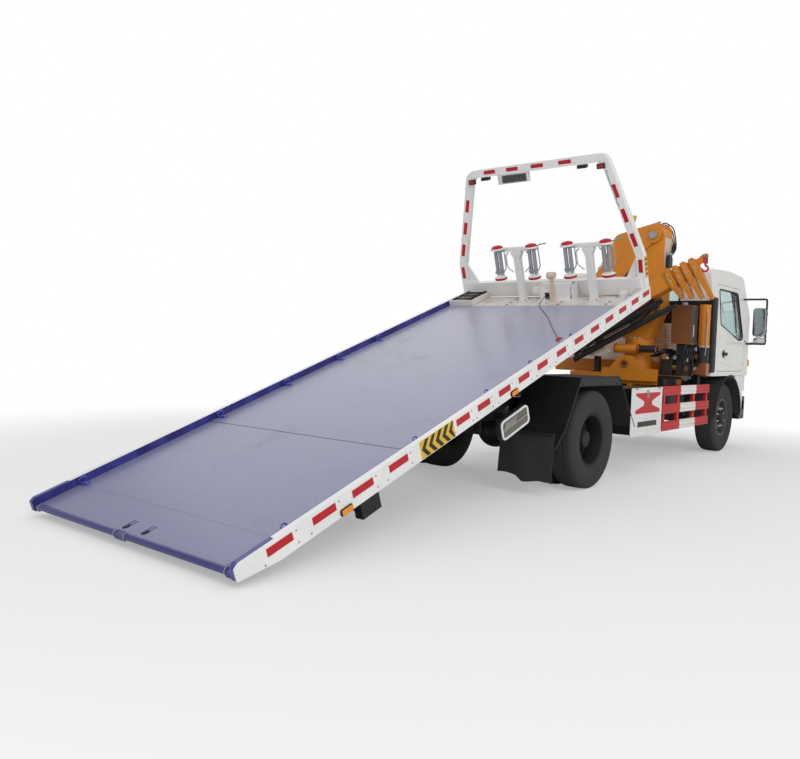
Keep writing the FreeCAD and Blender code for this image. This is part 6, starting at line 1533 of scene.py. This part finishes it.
def cab_side(z):
    """Half width of the cab at height z: 1.2 m, then leaning in 90 mm over the top metre."""
    return np.minimum(1.2, 1.21 - 0.09 * (np.asarray(z, float) - 1.7) / 1.015)


def screen_x(z):
    """The windscreen's plane: back 410 mm for each 950 mm up from its lower edge."""
    return 5.64 - (np.asarray(z, float) - 1.72) * 0.41 / 0.95


def cushion(low, high, power=0.28):
    """A padded block: middle + half size x (C(v) C(u), C(v) S(u), S(v)), where C and S are the cosine and
    sine raised to the power with their sign kept."""
    low, high = np.array(low, float), np.array(high, float)
    u = circle(48)[None]
    v = np.radians(np.linspace(-88, 88, 25))[:, None]
    c = lambda w: np.sign(np.cos(w)) * np.abs(np.cos(w)) ** power
    s = lambda w: np.sign(np.sin(w)) * np.abs(np.sin(w)) ** power
    points = np.stack([c(v) * c(u), c(v) * s(u), s(v) + 0 * u], -1) * (high - low) / 2 + (low + high) / 2
    return flipped(surface(points, wrap_cols=True, caps=True))


class TRUCK_OT_cab_outside(bpy.types.Operator):
    """Puts the trims, handles, creases, wheel arches, wipers and lamps on the cab"""

    bl_idname = "truck.cab_outside"
    bl_label = "Cab outside"

    def execute(self, context):
        ring = outline([(x, z, r) for x, z, r in SIDE_WINDOW], 7)
        for side, label in SIDES:
            body = "door_" + label
            line = np.column_stack([ring[:, 0], cab_side(ring[:, 1]) - 0.002, ring[:, 1]])
            piece("window_trim_" + label, on_side(joined(tube(line, 0.011, 10, closed=True),
                tube([(4.7, cab_side(2.392) - 0.004, 2.392), (4.76, cab_side(1.86), 1.79)], 0.009, 8)), side),
                "black_plastic", body)
            cup = lathe([(0.004, 1.1985), (0.058, 1.1985), (0.06, 1.2005), (0.052, 1.203), (0.004, 1.2015)],
                (4.175, 0, 1.47), "y", 28)
            grip = block((4.125, 1.196, 1.446), (4.295, 1.23, 1.494), 0.008, 0.014)
            lock = lathe([(0.003, 1.199), (0.011, 1.199), (0.01, 1.205), (0.003, 1.205)], (4.24, 0, 1.405), "y", 16)
            piece("door_handle_" + label, on_side(joined(cup, grip), side), "black_plastic", body)
            piece("door_lock_" + label, on_side(lock, side), "galvanised", body)
            piece("door_crease_" + label, on_side(tube(rounded_path([(3.945, 1.199, 1.372), (4.3, 1.201, 1.33),
                (5.165, 1.199, 1.232)], 0.2), 0.006, 8), side), "cab_paint", body)

        a = np.radians(np.linspace(68, 3, 26))
        arc = np.column_stack([4.589 + ARCH_R * np.cos(a), 0.516 + ARCH_R * np.sin(a)])
        cheek = np.concatenate([arc, [(5.262, 0.552), (5.262, 1.146), (4.87, 1.146)]])
        piece("arch_cheeks", slab(cheek, 1.155, 1.188, 0.003), "cab_paint", "cab", both=True)
        a = np.radians(np.linspace(176, 2, 60))
        lip = np.column_stack([4.589 + 0.622 * np.cos(a), np.full(60, 1.186), 0.516 + 0.622 * np.sin(a)])
        piece("arch_lips", tube(lip[1:-1], 0.013, 10), "flap_rubber", "chassis", both=True)
        piece("step_boxes", block((5.215, 1.075, 0.5), (5.3, 1.165, 0.815), 0.01, 0.015), "black_plastic", "chassis",
            both=True)

        z = np.array([1.76, 2.56, 2.56, 1.76])
        y = np.array([-1.01, -0.9, 0.9, 1.01])
        ring = outline([(y[k], z[k], 0.09) for k in range(4)], 7)
        line = np.column_stack([screen_x(ring[:, 1]) - 0.001, ring[:, 0], ring[:, 1]])
        piece("screen_trim", tube(line, 0.013, 10, closed=True), "black_plastic", "cab")
        ring = outline([(-0.7, 1.9, 0.08), (0.7, 1.9, 0.08), (0.7, 2.38, 0.08), (-0.7, 2.38, 0.08)], 7)
        line = np.column_stack([np.full(len(ring), 3.659), ring[:, 0], ring[:, 1]])
        piece("rear_window_trim", tube(line, 0.012, 10, closed=True), "black_plastic", "cab")
        arms = []
        for y in (-0.55, 0.25):
            base = np.array((screen_x(1.735) + 0.012, y, 1.735))
            tip = np.array((screen_x(2.28) + 0.014, y + 0.3, 2.28))
            elbow = base + (tip - base) * 0.45 + (0.016, 0, 0.006)
            arms.append(tube([base, elbow, tip], 0.007, 8))
            arms.append(disc(0.004, 0.024, -0.012, 0.014, tuple(base), "x", 16))
            low, high = tip + (0, -0.16, -0.3), tip + (0.004, 0.06, 0.2)
            low[0], high[0] = screen_x(low[2]) + 0.008, screen_x(high[2]) + 0.008
            arms.append(tube([low, (low + high) / 2, high], 0.009, 8))
        piece("wipers", arms, "black_plastic", "cab")
        visor = []
        for z in np.linspace(2.6, 2.636, 4):
            x = float(screen_x(z)) + 0.004
            visor.append(block((x - 0.03, -0.86, z - 0.006), (x, 0.86, z + 0.006), 0.003))
        piece("roof_vents", visor, "black_plastic", "cab")
        piece("grille_mesh", [block((5.73, -0.64, z - 0.006), (5.744, 0.64, z + 0.032), 0.002)
            for z in (0.96, 1.01, 1.06, 1.11)], "black_plastic", "cab")
        piece("front_panel_mark", plate((-0.66, 0.66, 1.33, 1.44), 5.7795, 5.7835, 0.001, "yz", 0.03),
            "black_plastic", "cab")

        bowls, rims = [], []
        for y in (0.712, 0.858):
            bowls.append(lathe([(0.004, -0.002), (0.03, 0.004), (0.058, 0.022), (0.062, 0.026), (0.064, 0.0),
                (0.05, -0.012)], (5.772, y, 0.64), "x", 28))
            rims.append(lathe([(0.058, 0.024), (0.068, 0.024), (0.07, 0.032), (0.06, 0.034)], (5.772, y, 0.64), "x",
                28, closed=True))
        piece("headlamp_bowls", bowls, "chrome_trim", "chassis", both=True)
        piece("headlamp_rims", rims, "black_plastic", "chassis", both=True)
        piece("front_plate", plate((-0.22, 0.22, 0.575, 0.715), 5.8245, 5.829, 0.001, "yz", 0.01), "mark_white",
            "chassis")
        piece("fog_lamps", [lathe([(0.004, -0.004), (0.045, -0.002), (0.05, 0.006), (0.044, 0.012), (0.004, 0.016)],
            (5.824, y, 0.64), "x", 24) for y in (-0.42, 0.42)], "lens_clear", "chassis")
        piece("side_flashers", [block((5.64, 1.118, 1.29), (5.69, 1.15, 1.4), 0.008, 0.01)], "lens_amber", "cab",
            both=True)
        return {"FINISHED"}


class TRUCK_OT_mirrors(bpy.types.Operator):
    """Builds the door mirrors: bent tube arms, padded heads, glass and the lower wide-angle mirrors"""

    bl_idname = "truck.mirrors"
    bl_label = "Mirrors"

    def execute(self, context):
        path = rounded_path([(5.202, 1.12, 2.33), (5.202, 1.47, 2.33), (5.274, 1.476, 2.33), (5.274, 1.476, 1.645),
            (5.202, 1.47, 1.645), (5.202, 1.186, 1.645)], 0.035)
        arms = [tube(path, 0.015, 14)]
        for z, y in ((2.33, 1.128), (1.645, 1.192)):
            arms.append(block((5.18, y - 0.008, z - 0.03), (5.224, y + 0.012, z + 0.03), 0.005, 0.008))
        for z in (1.7, 1.85, 2.11):
            arms.append(block((5.258, 1.455, z - 0.014), (5.292, 1.494, z + 0.014), 0.004, 0.006))
        piece("mirror_arms", arms, "cylinder_black", "cab", ["mirrors"], both=True)
        piece("mirror_heads", [plate((1.288, 1.482, 1.758, 2.202), 5.232, 5.294, 0.018, "yz", 0.055),
            plate((1.308, 1.48, 1.648, 1.742), 5.234, 5.288, 0.014, "yz", 0.03)], "mirror_shell", "cab", both=True)
        piece("mirror_faces", [plate((1.3, 1.47, 1.772, 2.188), 5.2285, 5.235, 0.001, "yz", 0.045),
            plate((1.318, 1.47, 1.658, 1.732), 5.2305, 5.237, 0.001, "yz", 0.022)], "mirror_glass", "cab", both=True)
        foot = rounded_path([(5.206, 1.188, 1.65), (5.216, 1.29, 1.64), (5.25, 1.375, 1.7), (5.262, 1.385, 1.775)],
            0.06)
        clasp = block((5.176, 1.166, 1.612), (5.236, 1.206, 1.69), 0.008, 0.01)
        piece("mirror_brackets", tube(foot, np.linspace(0.02, 0.03, len(foot)), 14), "chrome_trim", "cab", both=True)
        piece("mirror_clasps", clasp, "black_plastic", "cab", both=True)
        return {"FINISHED"}


class TRUCK_OT_cab_inside(bpy.types.Operator):
    """Furnishes the cab: padded seats, dashboard, steering wheel, clocks and gear lever"""

    bl_idname = "truck.cab_inside"
    bl_label = "Cab inside"

    def execute(self, context):
        floor = 1.192
        for k, (y, half) in enumerate(((-0.62, 0.24), (0.0, 0.19), (0.62, 0.24))):
            base = cushion((3.995, y - half, floor + 0.16), (4.505, y + half, floor + 0.335))
            back = cushion((-0.055, y - half, 0.0), (0.065, y + half, 0.74))
            back = shifted(turned(back, (0, 1, 0), -5.0), (3.965, 0, floor + 0.245))
            rest = cushion((3.835, y - 0.13, floor + 0.83), (3.915, y + 0.13, floor + 0.985), 0.4)
            seat = piece("seat_%d" % k, [base, back, rest], "seat_cloth", "cab", ["cab_interior"] if k == 0 else ())
            piece("seat_plinth_%d" % k, block((4.02, y - half + 0.03, floor + 0.0005),
                (4.48, y + half - 0.03, floor + 0.2), 0.006, 0.01), "black_plastic", "cab")
        side = [(5.232, 1.342), (5.182, 1.605), (5.215, 1.64), (5.3, 1.642), (5.478, 1.66), (5.545, 1.56),
            (5.556, 1.342)]
        dash = slab(side, -1.038, 1.038, 0.01)
        hood = block((5.165, 0.42, 1.6), (5.3, 0.83, 1.69), 0.02, 0.03)
        radio = block((5.17, -0.18, 1.44), (5.24, 0.18, 1.58), 0.006, 0.008)
        piece("dashboard", [dash, hood, radio, block((5.186, -0.9, 1.4), (5.235, -0.4, 1.56), 0.008, 0.012),
            block((5.302, -0.058, floor + 0.0005), (5.538, 0.058, 1.35), 0.006)], "dash_plastic", "cab")
        piece("clocks", [lathe([(0.003, -0.004), (0.044, -0.004), (0.048, 0.004), (0.003, 0.004)], (5.164, y, 1.648),
            "x", 24) for y in (0.56, 0.68)], "lens_smoke", "cab")
        centre, normal = np.array((4.95, 0.62, 1.759)), np.array((-0.806, 0.0, 0.591))
        wheel = [ring_bar(centre, normal, 0.215, 0.0155, 48)]
        hub = centre - normal * 0.035
        wheel.append(tube([hub - normal * 0.02, hub, hub + normal * 0.02], [0.05, 0.065, 0.05], 24))
        across = np.cross(normal, (0, 1, 0))
        for out in ((0, 1, 0), (0, -1, 0), -across if across[2] > 0 else across):
            out = np.asarray(out, float)
            wheel.append(tube([hub + out * 0.04, centre + out * 0.208], [0.017, 0.011], 10))
        piece("steering_wheel", [tube([(5.255, 0.62, 1.536), hub - normal * 0.01], [0.034, 0.024], 16), *wheel],
            "black_plastic", "cab")
        lever = joined(tube([(4.8, 0.25, floor + 0.001), (4.74, 0.25, 1.62)], [0.014, 0.009], 12),
            cushion((4.715, 0.225, 1.6), (4.765, 0.275, 1.66), 0.8), tube([(4.805, 0.25, floor + 0.001),
            (4.8, 0.25, floor + 0.12)], [0.06, 0.02], 20))
        piece("gear_lever", lever, "cylinder_black", "cab")
        return {"FINISHED"}


# ---------------------------------------------------------------- stage
CAMERA_AT = (-8.034, -4.702, 1.435)
CAMERA_YAW = 39.421
CAMERA_PITCH = -2.588
CAMERA_ROLL = 2.079
CAMERA_LENS = 34.65
LAMPS_AIM = (0.5, 0.0, 1.2)
FLOOR_HALF = 60.0
WHITE = (1.0, 1.0, 1.0, 1.0)


def camera_axes():
    """Forward from yaw and pitch; right and up square to it, then turned about forward by the roll."""
    yaw, pitch, roll = (radians(v) for v in (CAMERA_YAW, CAMERA_PITCH, CAMERA_ROLL))
    forward = np.array([cos(yaw) * cos(pitch), sin(yaw) * cos(pitch), sin(pitch)])
    right = np.array([sin(yaw), -cos(yaw), 0.0])
    up = np.cross(right, forward)
    return forward, cos(roll) * right + sin(roll) * up, cos(roll) * up - sin(roll) * right


def floor_finish():
    """A pale matt floor that takes the truck's shadow. Camera rays see it a third white under the
    truck and wholly white away from it, by a smooth step of the distance to its middle, from 5.5 to 10 m."""
    made = Finish("floor_paint", (0.9, 0.9, 0.9, 1.0), 0.85, Specular_IOR_Level=0.1)
    reach = made.node("ShaderNodeVectorMath", {0: made.place}, operation="LENGTH").outputs["Value"]
    seen = made.node("ShaderNodeLightPath").outputs["Is Camera Ray"]
    amount = made.sum("MULTIPLY", made.spread(reach, 5.5, 10.0, 0.35, 1.0), seen)
    white = made.node("ShaderNodeEmission", {"Color": WHITE}).outputs[0]
    pick = made.node("ShaderNodeMixShader", {0: amount, 1: made.shader.outputs[0], 2: white})
    made.tree.links.new(pick.outputs[0], made.tree.nodes["Material Output"].inputs["Surface"])
    return made.material


def surround_nodes(tree, strength):
    """Lights the truck with a near white sky. Camera and transmission rays see plain white instead."""
    sky = tree.nodes["Background"]
    sky.inputs["Color"].default_value = (0.985, 0.99, 1.0, 1.0)
    sky.inputs["Strength"].default_value = strength
    seen, rays, either, pick = (tree.nodes.new("ShaderNode" + kind)
        for kind in ("Background", "LightPath", "Math", "MixShader"))
    seen.inputs["Color"].default_value = WHITE
    either.operation = "MAXIMUM"
    for start, end in ((rays.outputs["Is Camera Ray"], either.inputs[0]),
            (rays.outputs["Is Transmission Ray"], either.inputs[1]), (either.outputs[0], pick.inputs[0]),
            (sky.outputs[0], pick.inputs[1]), (seen.outputs[0], pick.inputs[2]),
            (pick.outputs[0], tree.nodes["World Output"].inputs["Surface"])):
        tree.links.new(start, end)


def placed(thing, right, up, back, at):
    """Links a camera or a lamp to the scene, turned by its three axes."""
    made = bpy.data.objects.new(thing.name, thing)
    place = np.eye(4)
    place[:3] = np.column_stack([right, up, back, at])
    bpy.context.scene.collection.objects.link(made)
    made.matrix_world = Matrix(place.tolist())
    return made


class TRUCK_OT_stage(bpy.types.Operator):
    """Sets the camera, the pale floor, the white surround and the soft lamps"""

    bl_idname = "truck.stage"
    bl_label = "Stage"

    def execute(self, context):
        scene = context.scene
        forward, right, up = camera_axes()
        lens = bpy.data.cameras.new("camera")
        lens.lens = CAMERA_LENS
        lens.sensor_width = 36
        lens.clip_end = 200
        scene.camera = placed(lens, right, up, -forward, CAMERA_AT)

        half = FLOOR_HALF
        mesh = bpy.data.meshes.new("floor")
        mesh.from_pydata([(-half, -half, 0), (half, -half, 0), (half, half, 0), (-half, half, 0)], [], [(0, 1, 2, 3)])
        mesh.materials.append(floor_finish())
        floor = bpy.data.objects.new("floor", mesh)
        scene.collection.objects.link(floor)

        world = bpy.data.worlds.new("surround")
        scene.world = world
        world.use_nodes = True
        surround_nodes(world.node_tree, scene.truck_stage.sky)

        for name, energy, size, at in (("key_lamp", scene.truck_stage.key, 9.0, (-9.0, -11.0, 10.0)),
                ("fill_lamp", scene.truck_stage.fill, 12.0, (6.0, 12.0, 9.0))):
            lamp = bpy.data.lights.new(name, "AREA")
            lamp.energy = energy
            lamp.size = size
            back = np.array(at) - LAMPS_AIM
            back /= np.linalg.norm(back)
            across = np.cross((0, 0, 1), back)
            across /= np.linalg.norm(across)
            placed(lamp, across, np.cross(back, across), back, at)
        scene.view_settings.view_transform = "Standard"
        return {"FINISHED"}


# ---------------------------------------------------------------- settings, panel and run
class TruckSizes(bpy.types.PropertyGroup):
    """Sizes that a user may change"""

    plate_pitch: bpy.props.FloatProperty(name="Plate pitch", description="Side of one cell of the chequer plate",
        default=0.032, min=0.01, max=0.1, unit="LENGTH")


class TruckColours(bpy.types.PropertyGroup):
    """Colours that a user may change"""

    deck: bpy.props.FloatVectorProperty(name="Deck", description="Paint of the chequered deck", subtype="COLOR",
        size=3, min=0, max=1, default=srgb(148, 149, 178)[:3])


class TruckStage(bpy.types.PropertyGroup):
    """Light levels of the stage"""

    sky: bpy.props.FloatProperty(name="Sky", description="Strength of the surround's light", default=0.62, min=0)
    key: bpy.props.FloatProperty(name="Key lamp", description="Power of the large lamp", default=700, min=0,
        unit="POWER")
    fill: bpy.props.FloatProperty(name="Fill lamp", description="Power of the lamp on the far side", default=290,
        min=0, unit="POWER")


class TRUCK_OT_finishes(bpy.types.Operator):
    """Makes every finish and gives the frame's own nodes theirs"""

    bl_idname = "truck.finishes"
    bl_label = "Paint and finishes"

    def execute(self, context):
        plain_finishes()
        special_finishes(context.scene.truck_colours)
        for material, nodes in FRAME_FINISHES.items():
            dress(material, *nodes)
        return {"FINISHED"}


FRAME_FINISHES = {
    "chassis_paint": ("frame_rails", "front_axle", "rear_axle", "leaf_springs", "chassis_tanks", "toolboxes",
                      "front_bumper", "tilt_frame", "bed_beams", "lift_crossbar"),
    "cast_iron": ("engine_block", "knuckle_left", "knuckle_right"),
    "black_plastic": ("rear_fenders", "air_intake", "mirrors"),
    "flap_rubber": ("mud_flaps", "front_fenders"),
    "white_paint": ("side_guards", "headboard", "cradle_rack", "winch"),
    "rail_paint": ("bed_rails",),
    "deck_plate": ("bed_deck",),
    "rail_blue_paint": ("tail_roller",),
    "ring_blue_paint": ("lashing_rings",),
    "wire_rope": ("winch_rope",),
    "lens_smoke": ("headlamps", "tail_lamps"),
    "crane_paint": ("crane_base", "slew_cylinder", "crane_column", "inner_boom", "outer_boom", "boom_section_1",
                    "boom_section_2", "boom_section_3", "outrigger_beam_left", "outrigger_beam_right",
                    "outrigger_leg_left", "outrigger_leg_right"),
    "cylinder_black": ("knuckle_cylinders", "boom_cylinders"),
    "hook_red": ("crane_hook", "winch_hook"),
    "cab_paint": ("cab_shell", "door_left", "door_right"),
    "cab_glass_clear": ("cab_glass", "door_glass_left", "door_glass_right"),
    "dash_plastic": ("cab_interior",),
    "wheel_steel": ("front_rim_left", "front_rim_right", "rear_rims_left", "rear_rims_right"),
    "tyre_rubber": ("front_tyre_left", "front_tyre_right", "rear_tyres_left", "rear_tyres_right"),
}

OPERATORS = (TRUCK_OT_finishes, TRUCK_OT_wheels, TRUCK_OT_rail_marks, TRUCK_OT_deck_fittings,
    TRUCK_OT_headboard_marks, TRUCK_OT_fork_rack, TRUCK_OT_tail_lamps, TRUCK_OT_side_guards, TRUCK_OT_fenders,
    TRUCK_OT_crane_base, TRUCK_OT_outriggers, TRUCK_OT_booms, TRUCK_OT_crane_hook, TRUCK_OT_winch,
    TRUCK_OT_cab_outside, TRUCK_OT_mirrors, TRUCK_OT_cab_inside, TRUCK_OT_stage)


class TRUCK_PT_panel(bpy.types.Panel):
    """Lists the truck's pieces and settings"""

    bl_label = "Recovery truck"
    bl_idname = "TRUCK_PT_panel"
    bl_space_type = "VIEW_3D"
    bl_region_type = "UI"
    bl_category = "Truck"

    def draw(self, context):
        for made in OPERATORS:
            self.layout.operator(made.bl_idname)
        for group in (context.scene.truck_sizes, context.scene.truck_colours, context.scene.truck_stage):
            for name in group.__annotations__:
                self.layout.prop(group, name)


CLASSES = (TruckSizes, TruckColours, TruckStage) + OPERATORS + (TRUCK_PT_panel,)


def register():
    for made in CLASSES:
        bpy.utils.register_class(made)
    bpy.types.Scene.truck_sizes = bpy.props.PointerProperty(type=TruckSizes)
    bpy.types.Scene.truck_colours = bpy.props.PointerProperty(type=TruckColours)
    bpy.types.Scene.truck_stage = bpy.props.PointerProperty(type=TruckStage)


def unregister():
    del bpy.types.Scene.truck_sizes, bpy.types.Scene.truck_colours, bpy.types.Scene.truck_stage
    for made in reversed(CLASSES):
        bpy.utils.unregister_class(made)


def main():
    register()
    for made in OPERATORS:
        group, name = made.bl_idname.split(".")
        getattr(getattr(bpy.ops, group), name)()


if __name__ == "__main__":
    main()
